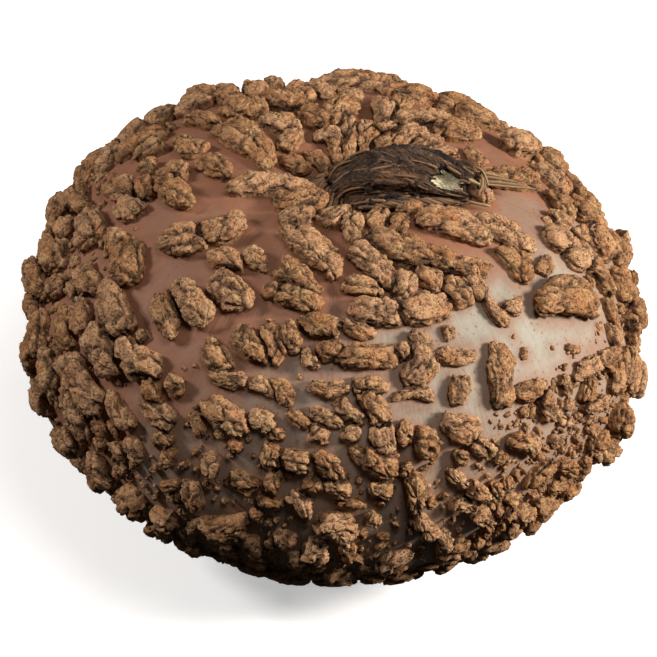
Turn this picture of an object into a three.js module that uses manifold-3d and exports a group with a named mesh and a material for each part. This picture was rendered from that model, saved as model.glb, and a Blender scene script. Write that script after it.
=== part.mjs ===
// A warted winter squash: a flattened round fruit, its rind grown over with corky, peanut-like warts,
// and the dried stem that bends over in the hollow on top.
//
// Units are millimetres and +Z is up. The origin is the middle of the flat spot that the fruit rests on.
// Azimuth 0 is the side that faces -Y, and it grows towards +X. Latitude 90 is the stem end of the fruit.
import * as THREE from "three";
import { ConvexHull } from "three/addons/math/ConvexHull.js";
import Module from "manifold-3d";

const wasm = await Module();
wasm.setup();

const DEGREE = Math.PI / 180;

// The fruit without its warts
const BODY_RADIUS = 143;
const BODY_HALF_HEIGHT = 95.5;
const BODY_ROUNDNESS = 2.06; // 2 is an ellipse, and more has fuller shoulders
const RIB_COUNT = 11;
const RIB_DEPTH = 0.9;
const HOLLOW_DEPTH = 20; // round the stem
const HOLLOW_RADIUS = 38;
const LEAN = 4 * DEGREE; // the stem end leans towards +X
const CENTRE_HEIGHT = 93; // the middle of the body, above the surface it rests on
const CENTRE_X = -8.2; // puts the flat spot's middle at the origin

// Warts
const LEAST_ROOM = 9.5; // narrower warts are too fine for this surface
const WART_FILL = 0.92; // of the room that its row gives it
const WART_RISE = 0.5; // height for each millimetre of width
const WART_FOOT = 0.8; // height that a wart of no width would have
const UNEVENNESS = 0.12; // of a crown point's height
const CROWN_STEP = 0.7; // of the width, between crown points along a wart's middle line
const OUTLINE_STEP = 9; // between points along a wart's outline
const FEWEST_SIDES = 5;
const POINTED_WIDTH = 11; // narrower warts have a crown point and no shoulder
const SHOULDER_REACH = 0.76; // of the way from a wart's middle line to its outline
const SHOULDER_HEIGHT = 0.74; // of the whole height
const SADDLE_HEIGHT = 0.45; // of the lower wart's, where two warts have grown together

// Strewn warts, over the parts that the rows further down leave bare
const STREW_SEED = 20260;
const STREW_TRIES = 2500;
const STREW_TOP = 52; // latitude above which only the rows' warts stand
const STREW_LOW = 8; // latitude under which they are strewn on the front as well
const FRONT_HALF = 74; // azimuth either side of the front that the rows cover
const STREW_CLEAR = 0.9; // of their half widths, between neighbours
const STREW_LONG = 1.2; // longest middle line, for each millimetre of width
const WIDE_UP = 22; // widest strewn wart on the upper half
const WIDE_DOWN = 17; // and on the lower half
const WIDE_FADE = 25; // latitude either side of the middle that it changes over
const NARROW = 12;

// Points on bare skin
const SKIN_STEP = 20;
const SKIN_MARGIN = 4; // from a wart's outline
const LEAST_GAP = 4; // between any two points at skin level
const HOLLOW_RINGS = [[84, 9], [77, 13]]; // latitude and number of points, round the stem

// The stem: its middle line from the hollow's floor, and its half widths along that line
const STEM_LINE = [[1, 0, -5], [4, -1, 7], [17, -4, 14], [35, -7, 16], [50, -11, 15], [60, -14, 15]];
const STEM_HALF_WIDTHS = [14, 14, 16.5, 16, 12, 8]; // at even steps along the line
const STEM_FLATNESS = 0.72; // thickness for each millimetre of width
const STEM_SIDES = 24;
const STEM_STEPS = 14;
const STEM_RIDGES = 6;
const STEM_TWIST = 0.8; // radians that the ridges turn, from foot to torn end
const RIDGE_HEIGHT = 0.12; // of the half width
const FOLDS = 2; // shallow waves round the stem
const FOLD_HEIGHT = 0.05;
const FOLD_TURN = 7; // radians that the folds turn back, from foot to torn end
const STEM_GAP = 0.3; // between the stem and the rind

// Warts as they lie on the real fruit. A row holds where a wart's middle line starts and ends, as azimuth
// and latitude in degrees, and the wart's width in millimetres.
const CROWN_WARTS = [
  [-152, 50, -152, 50, 14], [-165, 50, -165, 50, 8], [-176, 48, -186, 47, 17], [172, 51, 167, 51, 10],
  [163, 54, 154, 50, 17], [158, 58, 157, 64, 12], [-161, 61, -162, 63, 13], [-170, 58, -172, 62, 12],
  [180, 60, 176, 62, 11], [-147, 62, -154, 67, 17], [-137, 68, -145, 71, 14], [-157, 70, -163, 73, 15],
  [-162, 76, -170, 77, 12], [-178, 68, -171, 72, 17], [178, 73, 178, 78, 12], [167, 73, 167, 75, 9],
  [163, 66, 159, 70, 14], [156, 73, 152, 72, 10], [-133, 60, -138, 64, 16], [-141, 54, -139, 57, 14],
  [-116, 63, -101, 74, 18], [-141, 75, -128, 76, 11], [-112, 78, -112, 80, 11], [-72, 67, -69, 81, 14],
  [-47, 74, -38, 79, 17], [-31, 70, -28, 73, 14], [-14, 74, -6, 77, 14], [5, 69, 5, 76, 13],
  [19, 74, 26, 75, 12], [31, 71, 35, 73, 12], [47, 74, 56, 74, 12], [44, 69, 56, 59, 17],
  [148, 68, 138, 61, 18], [128, 66, 124, 61, 16], [135, 56, 135, 56, 8], [112, 64, 106, 63, 9],
  [94, 63, 101, 53, 16], [84, 66, 79, 63, 11],
  [63, 61, 66, 54, 16], [152, 48, 147, 48, 13], [143, 47, 134, 45, 16], [130, 38, 127, 38, 13],
  [121, 36, 117, 36, 12], [110, 46, 104, 44, 15], [96, 48, 92, 46, 13], [114, 38, 108, 36, 16],
];
const LEFT_WARTS = [
  [-107, 58, -104, 61, 14], [-92, 64, -85, 66, 14], [-93, 43, -88, 47, 15], [-97, 51, -97, 51, 11],
  [-87, 51, -84, 51, 13], [-91, 56, -88, 58, 13], [-83, 56, -74, 58, 16], [-83, 46, -79, 47, 15],
  [-101, 31, -92, 35, 16], [-107, 28, -103, 27, 13], [-100, 24, -97, 22, 13], [-85, 36, -80, 36, 19],
  [-90, 30, -89, 28, 14], [-97, 18, -97, 18, 8], [-117, 33, -111, 34, 15], [-107, 36, -107, 36, 10],
  [-110, 42, -117, 47, 16], [-124, 38, -119, 37, 15], [-132, 40, -127, 39, 17], [-138, 45, -133, 46, 15],
  [-124, 52, -121, 60, 12], [-146, 48, -144, 46, 14], [-64, 44, -60, 41, 18], [-73, 42, -70, 41, 13],
  [-46, 41, -41, 38, 15], [-43, 44, -36, 43, 16], [-58, 52, -55, 55, 18], [-53, 58, -49, 62, 16],
  [-60, 35, -51, 31, 18], [-46, 32, -46, 32, 8], [-70, 33, -65, 33, 15], [-70, 27, -70, 27, 11],
  [-63, 28, -60, 25, 14], [-56, 26, -49, 23, 18], [-47, 28, -40, 28, 18], [-39, 25, -37, 22, 13],
  [-34, 27, -34, 27, 12], [-37, 20, -33, 18, 14], [-56, 16, -50, 12, 20], [-87, 25, -82, 24, 18],
  [-84, 17, -79, 17, 16], [-83, 9, -78, 11, 15], [-74, 12, -70, 8, 16], [-66, 22, -62, 19, 12],
  [-66, 9, -62, 5, 15], [-77, 2, -74, 0, 15], [-76, 21, -74, 24, 13],
];
const FRONT_WARTS = [
  [-22, 67, -5, 61, 17], [15, 68, 31, 61, 17], [33, 66, 47, 55, 17], [5, 64, 13, 58, 15],
  [19, 57, 18, 54, 14], [26, 58, 28, 55, 12], [-19, 58, -12, 56, 15], [-17, 53, -11, 52, 15],
  [-22, 53, -22, 53, 10], [-34, 58, -30, 58, 11], [-42, 55, -37, 56, 13], [-35, 51, -30, 50, 18],
  [2, 57, 8, 56, 13], [5, 52, 12, 51, 17], [1, 48, 5, 47, 10], [18, 51, 25, 51, 19],
  [-9, 48, -4, 47, 14], [-13, 45, -12, 43, 13], [-18, 44, -15, 41, 13], [-24, 42, -20, 40, 14],
  [-29, 38, -25, 35, 13], [-9, 42, -7, 40, 8], [-4, 43, -2, 43, 12], [0, 42, 10, 41, 14],
  [14, 43, 14, 42, 9], [18, 44, 15, 37, 15], [23, 41, 30, 40, 9], [-6, 36, 0, 36, 9],
  [4, 37, 8, 36, 10], [-26, 33, -22, 33, 11], [-18, 33, -15, 32, 8], [-13, 34, -11, 31, 9],
  [0, 32, 3, 29, 10], [6, 33, 8, 29, 13], [12, 33, 18, 32, 8],
];
const RIGHT_WARTS = [
  [57, 55, 56, 49, 13], [64, 47, 67, 47, 9], [42, 55, 40, 51, 12], [32, 54, 34, 51, 12],
  [41, 49, 43, 43, 8], [45, 45, 48, 44, 8], [56, 41, 66, 35, 20], [35, 37, 33, 29, 16],
  [38, 28, 42, 27, 11], [43, 24, 44, 19, 12], [55, 24, 60, 23, 12], [62, 23, 67, 20, 12],
  [50, 24, 50, 22, 8], [56, 20, 54, 17, 9], [76, 42, 79, 38, 12], [79, 35, 78, 30, 14],
  [75, 28, 73, 25, 10], [70, 24, 69, 21, 10], [77, 47, 80, 43, 16], [88, 47, 87, 44, 12],
  [86, 42, 88, 40, 12], [54, 14, 58, 12, 11], [100, 40, 96, 38, 15], [106, 33, 103, 31, 14],
  [92, 35, 90, 31, 15], [97, 28, 94, 25, 14], [86, 26, 84, 22, 14], [88, 16, 84, 12, 15],
  [80, 17, 78, 14, 12], [72, 14, 69, 10, 13], [78, 6, 74, 3, 14], [64, 12, 66, 16, 12],
];
const LOWER_WARTS = [
  [-24, 26, -20, 24, 16], [-16, 26, -14, 25, 12], [-12, 23, -12, 23, 9], [-9, 28, -7, 27, 9],
  [-5, 29, -1, 28, 9], [-4, 25, -4, 25, 12], [2, 26, 2, 26, 10], [8, 26, 8, 22, 13],
  [6, 19, 9, 17, 17], [7, 12, 9, 11, 11], [3, 21, 4, 19, 9], [12, 16, 12, 16, 11],
  [12, 25, 13, 24, 12], [15, 23, 17, 21, 14], [-12, 19, -12, 17, 12], [-9, 18, -6, 18, 12],
  [-3, 19, -1, 16, 13], [-5, 12, -3, 12, 9], [-1, 13, 1, 11, 11], [-17, 10, -15, 9, 12],
  [-11, 13, -11, 10, 9], [-7, 8, -5, 5, 11], [-13, 6, -10, 5, 8], [1, 8, 4, 7, 8],
  [13, 14, 14, 6, 12], [15, 4, 18, -3, 12], [19, -6, 20, -13, 11], [-19, 18, -19, 18, 8],
  [-45, 15, -41, 13, 14], [-33, 15, -32, 14, 10], [-56, 7, -52, 1, 18], [-39, 8, -37, 6, 10],
  [-31, 11, -31, 8, 9], [-43, 3, -41, 2, 9], [-26, 3, -25, -1, 12], [-23, 13, -23, 10, 11],
  [22, 25, 25, 23, 15], [26, 20, 28, 17, 11], [23, 17, 23, 17, 10], [21, 13, 23, 10, 9],
  [25, 8, 27, 6, 11], [22, 4, 24, 3, 10], [26, 0, 28, -4, 12], [17, 6, 17, 6, 9],
  [34, 17, 37, 14, 13], [29, 7, 29, 4, 9], [33, 0, 33, 0, 9], [46, 2, 47, 0, 11],
  [44, -4, 47, -6, 9], [2, -5, 2, -8, 8], [3, -12, 5, -14, 9],
];

function seededRandom(seed) {
  let state = seed >>> 0;
  return () => {
    state = (Math.imul(state, 1664525) + 1013904223) >>> 0;
    return state / 4294967296;
  };
}

// The skin's point at an azimuth and a latitude in degrees
function skinPoint(azimuth, latitude) {
  const across = Math.cos(latitude * DEGREE);
  const up = Math.sin(latitude * DEGREE);
  const size = (Math.abs(across) ** BODY_ROUNDNESS + Math.abs(up) ** BODY_ROUNDNESS) ** (-1 / BODY_ROUNDNESS);
  const rib = RIB_DEPTH * Math.cos(RIB_COUNT * azimuth * DEGREE) * across ** 2;
  const radius = BODY_RADIUS * size * across + rib;
  const hollow = up > 0 ? HOLLOW_DEPTH * Math.exp(-((radius / HOLLOW_RADIUS) ** 2)) : 0;
  return new THREE.Vector3(
    radius * Math.sin(azimuth * DEGREE),
    -radius * Math.cos(azimuth * DEGREE),
    BODY_HALF_HEIGHT * size * up - hollow,
  )
    .applyAxisAngle(new THREE.Vector3(0, 1, 0), LEAN)
    .add(new THREE.Vector3(CENTRE_X, 0, CENTRE_HEIGHT));
}

// The outward direction there, and the millimetres in a degree of azimuth and of latitude
function skinFrame(azimuth, latitude) {
  const step = 0.5;
  const east = skinPoint(azimuth + step, latitude).sub(skinPoint(azimuth - step, latitude));
  const north = skinPoint(azimuth, latitude + step).sub(skinPoint(azimuth, latitude - step));
  return { eastStep: east.length(), northStep: north.length(), outward: east.cross(north).normalize() };
}

const turnBetween = (from, to) => ((((to - from + 180) % 360) + 360) % 360) - 180;

function makeWart([startAzimuth, startLatitude, endAzimuth, endLatitude, room]) {
  const azimuth = (startAzimuth + endAzimuth) / 2;
  const latitude = (startLatitude + endLatitude) / 2;
  const frame = skinFrame(azimuth, latitude);
  const along = new THREE.Vector2(
    (endAzimuth - startAzimuth) * frame.eastStep,
    (endLatitude - startLatitude) * frame.northStep,
  );
  const length = along.length();
  const direction = length > 0 ? along.divideScalar(length) : new THREE.Vector2(1, 0);
  const width = WART_FILL * room;
  const height = WART_FOOT + WART_RISE * width;
  const at = skinPoint(azimuth, latitude);
  return { azimuth, latitude, ...frame, direction, length, width, height, at };
}

// The azimuth and latitude of a place given in millimetres along and across a wart
function onWart(wart, along, across) {
  const east = along * wart.direction.x - across * wart.direction.y;
  const north = along * wart.direction.y + across * wart.direction.x;
  return [wart.azimuth + east / wart.eastStep, wart.latitude + north / wart.northStep];
}

// Where a place on the skin lies on a wart: 0 on its middle line, 1 on its outline
function reach(wart, azimuth, latitude) {
  const east = turnBetween(wart.azimuth, azimuth) * wart.eastStep;
  const north = (latitude - wart.latitude) * wart.northStep;
  const along = east * wart.direction.x + north * wart.direction.y;
  const across = north * wart.direction.x - east * wart.direction.y;
  const past = Math.max(0, Math.abs(along) - wart.length / 2);
  return Math.hypot(past, across) / (wart.width / 2);
}

function touches(wart, other) {
  const room = (wart.width + wart.length + other.width + other.length) / 2;
  if (wart.at.distanceTo(other.at) > room) return false;
  const needed = 1 + (STREW_CLEAR * wart.width) / other.width;
  return [-0.5, 0, 0.5].some((share) => reach(other, ...onWart(wart, share * wart.length, 0)) < needed);
}

function strewWarts(warts) {
  const random = seededRandom(STREW_SEED);
  const all = [...warts];
  for (let tried = 0; tried < STREW_TRIES; tried += 1) {
    const azimuth = 360 * random() - 180;
    const latitude = Math.asin(2 * random() - 1) / DEGREE;
    const upper = THREE.MathUtils.smoothstep(latitude, -WIDE_FADE, WIDE_FADE);
    const widest = THREE.MathUtils.lerp(WIDE_DOWN, WIDE_UP, upper);
    const width = NARROW + (widest - NARROW) * random();
    const length = width * STREW_LONG * random() ** 2;
    const bearing = Math.PI * random();
    const seen = Math.abs(azimuth) < FRONT_HALF && latitude > STREW_LOW;
    const underneath = skinPoint(azimuth, latitude).z < width / 2;
    if (latitude > STREW_TOP || seen || underneath) continue;
    const { eastStep, northStep } = skinFrame(azimuth, latitude);
    const east = (length * Math.cos(bearing)) / 2 / eastStep;
    const north = (length * Math.sin(bearing)) / 2 / northStep;
    const wart = makeWart([azimuth - east, latitude - north, azimuth + east, latitude + north, width]);
    if (!all.some((other) => touches(wart, other))) all.push(wart);
  }
  return all;
}

// The places that the fruit's surface is spanned between. Crown places hold their wart.
function surfacePlaces(warts) {
  const places = [];
  const addFoot = (azimuth, latitude, owner) => {
    const at = skinPoint(azimuth, latitude);
    const covered = warts.some((wart) => {
      const clear = owner ? 1 : 1 + SKIN_MARGIN / (wart.width / 2);
      return wart !== owner && reach(wart, azimuth, latitude) < clear;
    });
    const crowded = places.some((place) => !place.wart && place.at.distanceTo(at) < LEAST_GAP);
    if (!covered && !crowded) places.push({ azimuth, latitude, at });
  };
  for (const wart of warts) {
    const count = 1 + Math.round(wart.length / wart.width / CROWN_STEP);
    for (let i = 0; i < count; i += 1) {
      const along = count > 1 ? wart.length * (i / (count - 1) - 0.5) : 0;
      const [azimuth, latitude] = onWart(wart, along, 0);
      places.push({ azimuth, latitude, wart, at: skinPoint(azimuth, latitude) });
    }
  }
  for (const wart of warts) {
    const outline = Math.PI * wart.width + 2 * wart.length;
    const count = Math.max(FEWEST_SIDES, Math.round(outline / OUTLINE_STEP));
    for (let i = 0; i < count; i += 1) {
      const angle = (2 * Math.PI * i) / count;
      const along = ((wart.length + wart.width) / 2) * Math.cos(angle);
      addFoot(...onWart(wart, along, (wart.width / 2) * Math.sin(angle)), wart);
    }
  }
  addFoot(0, 90);
  for (const [latitude, count] of HOLLOW_RINGS) {
    for (let i = 0; i < count; i += 1) addFoot((360 * i) / count, latitude);
  }
  const area = 2 * Math.PI * BODY_RADIUS * (BODY_RADIUS + BODY_HALF_HEIGHT);
  const count = Math.round(area / SKIN_STEP ** 2);
  const goldenTurn = 180 * (3 - Math.sqrt(5));
  for (let i = 0; i < count; i += 1) {
    addFoot((i * goldenTurn) % 360, Math.asin(1 - (2 * i + 1) / count) / DEGREE);
  }
  return places;
}

// Joins places by their convex hull on a unit sphere, whose faces are the nearest-neighbour triangles
function spanPlaces(places) {
  const directions = places.map(({ azimuth, latitude }) => {
    const across = Math.cos(latitude * DEGREE);
    const x = across * Math.sin(azimuth * DEGREE);
    const y = -across * Math.cos(azimuth * DEGREE);
    return new THREE.Vector3(x, y, Math.sin(latitude * DEGREE));
  });
  const numbers = new Map(directions.map((direction, number) => [direction, number]));
  return new ConvexHull().setFromPoints(directions).faces.map((face) => {
    const corners = [face.edge, face.edge.next, face.edge.next.next];
    return corners.map((edge) => numbers.get(edge.head().point));
  });
}

// Adds the point that an edge between two places needs: a shoulder between a crown and the skin, or a
// saddle between two warts. Any other edge needs none.
function addMiddle(one, other, addPoint) {
  const [high, low] = one.wart ? [one, other] : [other, one];
  if (high.wart === low.wart) return null;
  if (low.wart) {
    const lower = high.wart.height < low.wart.height ? high.wart : low.wart;
    return addPoint(high.at.clone().lerp(low.at, 0.5), lower.outward, lower.height * SADDLE_HEIGHT);
  }
  if (high.wart.width < POINTED_WIDTH) return null;
  const share = SHOULDER_REACH / Math.max(1, reach(high.wart, low.azimuth, low.latitude));
  return addPoint(high.at.clone().lerp(low.at, share), high.wart.outward, high.wart.height * SHOULDER_HEIGHT);
}

// The fruit: skin between the warts' outlines, and the warts raised on their crowns and shoulders
function fruitGeometry() {
  const rows = [...CROWN_WARTS, ...LEFT_WARTS, ...FRONT_WARTS, ...RIGHT_WARTS, ...LOWER_WARTS];
  const random = seededRandom(STREW_SEED + 1);
  const warts = strewWarts(rows.filter((row) => row[4] >= LEAST_ROOM).map(makeWart));
  const places = surfacePlaces(warts);
  const positions = [];
  const addPoint = (point, outward, rise) => {
    const raised = point.clone().addScaledVector(outward, rise);
    positions.push(raised.x, raised.y, Math.max(0, raised.z));
    return positions.length / 3 - 1;
  };
  for (const { at, wart } of places) {
    if (wart) addPoint(at, wart.outward, wart.height * (1 - UNEVENNESS * random()));
    else addPoint(at, new THREE.Vector3(), 0);
  }
  const middles = new Map();
  const middleOf = (one, other) => {
    const key = Math.min(one, other) * places.length + Math.max(one, other);
    if (!middles.has(key)) middles.set(key, addMiddle(places[one], places[other], addPoint));
    return middles.get(key);
  };
  const index = [];
  for (const corners of spanPlaces(places)) {
    const sides = corners.map((corner, i) => middleOf(corner, corners[(i + 1) % 3]));
    const first = Math.max(0, sides.findIndex((side, i) => side !== null && sides[(i + 1) % 3] === null));
    const [a, b, c] = [0, 1, 2].map((i) => corners[(first + i) % 3]);
    const [ab, bc, ca] = [0, 1, 2].map((i) => sides[(first + i) % 3]);
    if (ab === null) index.push(a, b, c);
    else if (bc !== null) index.push(a, ab, ca, b, bc, ab, c, ca, bc, ab, bc, ca);
    else if (ca !== null) index.push(a, ab, ca, ab, b, c, ab, c, ca);
    else index.push(a, ab, c, ab, b, c);
  }
  return closedGeometry(positions, index);
}

function closedGeometry(positions, index) {
  return new THREE.BufferGeometry()
    .setAttribute("position", new THREE.Float32BufferAttribute(positions, 3))
    .setIndex(index);
}

function solidOf(geometry) {
  const vertProperties = new Float32Array(geometry.attributes.position.array);
  const triVerts = new Uint32Array(geometry.index.array);
  return new wasm.Manifold(new wasm.Mesh({ numProp: 3, vertProperties, triVerts }));
}

function geometryOf(solid) {
  const { vertProperties, triVerts } = solid.getMesh();
  return closedGeometry(vertProperties, [...triVerts]);
}

const stemLine = new THREE.CatmullRomCurve3(STEM_LINE.map((point) => new THREE.Vector3(...point)));

function valueAlong(values, share) {
  const place = share * (values.length - 1);
  const from = Math.min(values.length - 2, Math.floor(place));
  return THREE.MathUtils.lerp(values[from], values[from + 1], place - from);
}

function stemPoint(share, angle) {
  const ahead = stemLine.getTangentAt(share);
  const side = new THREE.Vector3(0, 1, 0).cross(ahead).normalize().cross(ahead);
  const up = side.clone().cross(ahead);
  const turned = angle + STEM_TWIST * share;
  const ridge = RIDGE_HEIGHT * Math.cos(STEM_RIDGES * turned);
  const fold = FOLD_HEIGHT * Math.cos(FOLDS * turned - FOLD_TURN * share);
  const radius = valueAlong(STEM_HALF_WIDTHS, share) * (1 + ridge + fold);
  return stemLine.getPointAt(share)
    .addScaledVector(side, radius * Math.cos(angle))
    .addScaledVector(up, radius * STEM_FLATNESS * Math.sin(angle));
}

function stalkGeometry() {
  const positions = [];
  const index = [];
  for (let step = 0; step <= STEM_STEPS; step += 1) {
    for (let i = 0; i < STEM_SIDES; i += 1) {
      positions.push(...stemPoint(step / STEM_STEPS, (2 * Math.PI * i) / STEM_SIDES));
    }
  }
  for (let step = 0; step < STEM_STEPS; step += 1) {
    for (let i = 0; i < STEM_SIDES; i += 1) {
      const near = step * STEM_SIDES + i;
      const next = step * STEM_SIDES + ((i + 1) % STEM_SIDES);
      index.push(near, next + STEM_SIDES, next, near, near + STEM_SIDES, next + STEM_SIDES);
    }
  }
  const last = STEM_STEPS * STEM_SIDES;
  for (let i = 1; i < STEM_SIDES - 1; i += 1) index.push(0, i, i + 1, last, last + i + 1, last + i);
  return closedGeometry(positions, index);
}

// The stalk, less the fruit moved a gap's width up and to each side
function stemGeometry(fruitBody) {
  const foot = skinPoint(0, 90);
  const shape = solidOf(stalkGeometry().translate(foot.x, foot.y, foot.z));
  const fruitSolid = solidOf(fruitBody);
  const moves = [[0, 0, 1], [1, 0, 1], [-1, 0, 1], [0, 1, 1], [0, -1, 1]];
  const cut = moves.reduce((solid, move) => {
    const [x, y, z] = move.map((part) => part * STEM_GAP);
    return solid.subtract(fruitSolid.translate(x, y, z));
  }, shape);
  const [largest] = cut.decompose().sort((one, other) => other.volume() - one.volume());
  return geometryOf(largest);
}

const cork = new THREE.MeshStandardMaterial({ color: 0x9a7248, roughness: 0.85, metalness: 0 });
const bark = new THREE.MeshStandardMaterial({ color: 0x5a3d28, roughness: 0.9, metalness: 0 });

const fruit = new THREE.Mesh(fruitGeometry(), cork);
fruit.name = "fruit";

const stem = new THREE.Mesh(stemGeometry(fruit.geometry), bark);
stem.name = "stem";

const squash = new THREE.Group();
squash.add(fruit, stem);

export default squash;
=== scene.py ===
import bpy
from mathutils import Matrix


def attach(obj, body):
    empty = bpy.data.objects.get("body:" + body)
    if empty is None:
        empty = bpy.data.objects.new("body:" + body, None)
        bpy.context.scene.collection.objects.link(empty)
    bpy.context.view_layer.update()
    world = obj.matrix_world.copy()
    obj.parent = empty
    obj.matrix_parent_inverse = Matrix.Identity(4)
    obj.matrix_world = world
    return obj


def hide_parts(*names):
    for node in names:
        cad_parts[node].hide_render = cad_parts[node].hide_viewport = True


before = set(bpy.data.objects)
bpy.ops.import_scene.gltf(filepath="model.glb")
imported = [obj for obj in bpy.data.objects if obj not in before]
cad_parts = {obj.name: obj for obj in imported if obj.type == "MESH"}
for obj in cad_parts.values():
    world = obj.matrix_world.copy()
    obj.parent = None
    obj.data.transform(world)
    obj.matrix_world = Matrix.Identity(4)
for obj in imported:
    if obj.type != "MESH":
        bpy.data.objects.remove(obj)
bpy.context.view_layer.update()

import functools
import math

import bpy
import numpy as np
from mathutils import Vector

bl_info = {
    "name": "Warted winter squash",
    "version": (1, 0, 0),
    "blender": (4, 5, 0),
    "location": "3D View > Sidebar > Squash",
    "description": "Rind, cork warts and dried stem of a winter squash",
    "category": "Object",
}

MM = 0.001

# The fruit without its warts, in millimetres and degrees
BODY_RADIUS = 143
BODY_HALF_HEIGHT = 95.5
BODY_ROUNDNESS = 2.06
RIB_COUNT = 11
RIB_DEPTH = 0.9
HOLLOW_DEPTH = 20
HOLLOW_RADIUS = 38
LEAN = math.radians(4)
CENTRE = np.array([-8.2, 0, 93])

# Big warts: their sizes in millimetres, and where they are strewn, in degrees
LEAST_ROOM = 9.5
WART_FILL = 0.92
WART_RISE = 0.5
WART_FOOT = 0.8
STREW_SEED = 20260
STREW_TRIES = 2500
STREW_TOP = 52
STREW_LOW = 8
FRONT_HALF = 74
STREW_CLEAR = 0.9
STREW_LONG = 1.2
WIDE_UP = 22
WIDE_DOWN = 17
WIDE_FADE = 25
NARROW = 12

# Warts as they lie on the real fruit. A row holds where a wart's middle line starts and ends, as azimuth
# and latitude in degrees, and the wart's width in millimetres.
CROWN_WARTS = [
    [-152, 50, -152, 50, 14], [-165, 50, -165, 50, 8], [-176, 48, -186, 47, 17], [172, 51, 167, 51, 10],
    [163, 54, 154, 50, 17], [158, 58, 157, 64, 12], [-161, 61, -162, 63, 13], [-170, 58, -172, 62, 12],
    [180, 60, 176, 62, 11], [-147, 62, -154, 67, 17], [-137, 68, -145, 71, 14], [-157, 70, -163, 73, 15],
    [-162, 76, -170, 77, 12], [-178, 68, -171, 72, 17], [178, 73, 178, 78, 12], [167, 73, 167, 75, 9],
    [163, 66, 159, 70, 14], [156, 73, 152, 72, 10], [-133, 60, -138, 64, 16], [-141, 54, -139, 57, 14],
    [-116, 63, -101, 74, 18], [-141, 75, -128, 76, 11], [-112, 78, -112, 80, 11], [-72, 67, -69, 81, 14],
    [-47, 74, -38, 79, 17], [-31, 70, -28, 73, 14], [-14, 74, -6, 77, 14], [5, 69, 5, 76, 13],
    [19, 74, 26, 75, 12], [31, 71, 35, 73, 12], [47, 74, 56, 74, 12], [44, 69, 56, 59, 17],
    [148, 68, 138, 61, 18], [128, 66, 124, 61, 16], [135, 56, 135, 56, 8], [112, 64, 106, 63, 9],
    [94, 63, 101, 53, 16], [84, 66, 79, 63, 11],
    [63, 61, 66, 54, 16], [152, 48, 147, 48, 13], [143, 47, 134, 45, 16], [130, 38, 127, 38, 13],
    [121, 36, 117, 36, 12], [110, 46, 104, 44, 15], [96, 48, 92, 46, 13], [114, 38, 108, 36, 16],
]
LEFT_WARTS = [
    [-107, 58, -104, 61, 14], [-92, 64, -85, 66, 14], [-93, 43, -88, 47, 15], [-97, 51, -97, 51, 11],
    [-87, 51, -84, 51, 13], [-91, 56, -88, 58, 13], [-83, 56, -74, 58, 16], [-83, 46, -79, 47, 15],
    [-101, 31, -92, 35, 16], [-107, 28, -103, 27, 13], [-100, 24, -97, 22, 13], [-85, 36, -80, 36, 19],
    [-90, 30, -89, 28, 14], [-97, 18, -97, 18, 8], [-117, 33, -111, 34, 15], [-107, 36, -107, 36, 10],
    [-110, 42, -117, 47, 16], [-124, 38, -119, 37, 15], [-132, 40, -127, 39, 17], [-138, 45, -133, 46, 15],
    [-124, 52, -121, 60, 12], [-146, 48, -144, 46, 14], [-64, 44, -60, 41, 18], [-73, 42, -70, 41, 13],
    [-46, 41, -41, 38, 15], [-43, 44, -36, 43, 16], [-58, 52, -55, 55, 18], [-53, 58, -49, 62, 16],
    [-60, 35, -51, 31, 18], [-46, 32, -46, 32, 8], [-70, 33, -65, 33, 15], [-70, 27, -70, 27, 11],
    [-63, 28, -60, 25, 14], [-56, 26, -49, 23, 18], [-47, 28, -40, 28, 18], [-39, 25, -37, 22, 13],
    [-34, 27, -34, 27, 12], [-37, 20, -33, 18, 14], [-56, 16, -50, 12, 20], [-87, 25, -82, 24, 18],
    [-84, 17, -79, 17, 16], [-83, 9, -78, 11, 15], [-74, 12, -70, 8, 16], [-66, 22, -62, 19, 12],
    [-66, 9, -62, 5, 15], [-77, 2, -74, 0, 15], [-76, 21, -74, 24, 13],
]
FRONT_WARTS = [
    [-22, 67, -5, 61, 17], [15, 68, 31, 61, 17], [33, 66, 47, 55, 17], [5, 64, 13, 58, 15],
    [19, 57, 18, 54, 14], [26, 58, 28, 55, 12], [-19, 58, -12, 56, 15], [-17, 53, -11, 52, 15],
    [-22, 53, -22, 53, 10], [-34, 58, -30, 58, 11], [-42, 55, -37, 56, 13], [-35, 51, -30, 50, 18],
    [2, 57, 8, 56, 13], [5, 52, 12, 51, 17], [1, 48, 5, 47, 10], [18, 51, 25, 51, 19],
    [-9, 48, -4, 47, 14], [-13, 45, -12, 43, 13], [-18, 44, -15, 41, 13], [-24, 42, -20, 40, 14],
    [-29, 38, -25, 35, 13], [-9, 42, -7, 40, 8], [-4, 43, -2, 43, 12], [0, 42, 10, 41, 14],
    [14, 43, 14, 42, 9], [18, 44, 15, 37, 15], [23, 41, 30, 40, 9], [-6, 36, 0, 36, 9],
    [4, 37, 8, 36, 10], [-26, 33, -22, 33, 11], [-18, 33, -15, 32, 8], [-13, 34, -11, 31, 9],
    [0, 32, 3, 29, 10], [6, 33, 8, 29, 13], [12, 33, 18, 32, 8],
]
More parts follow.
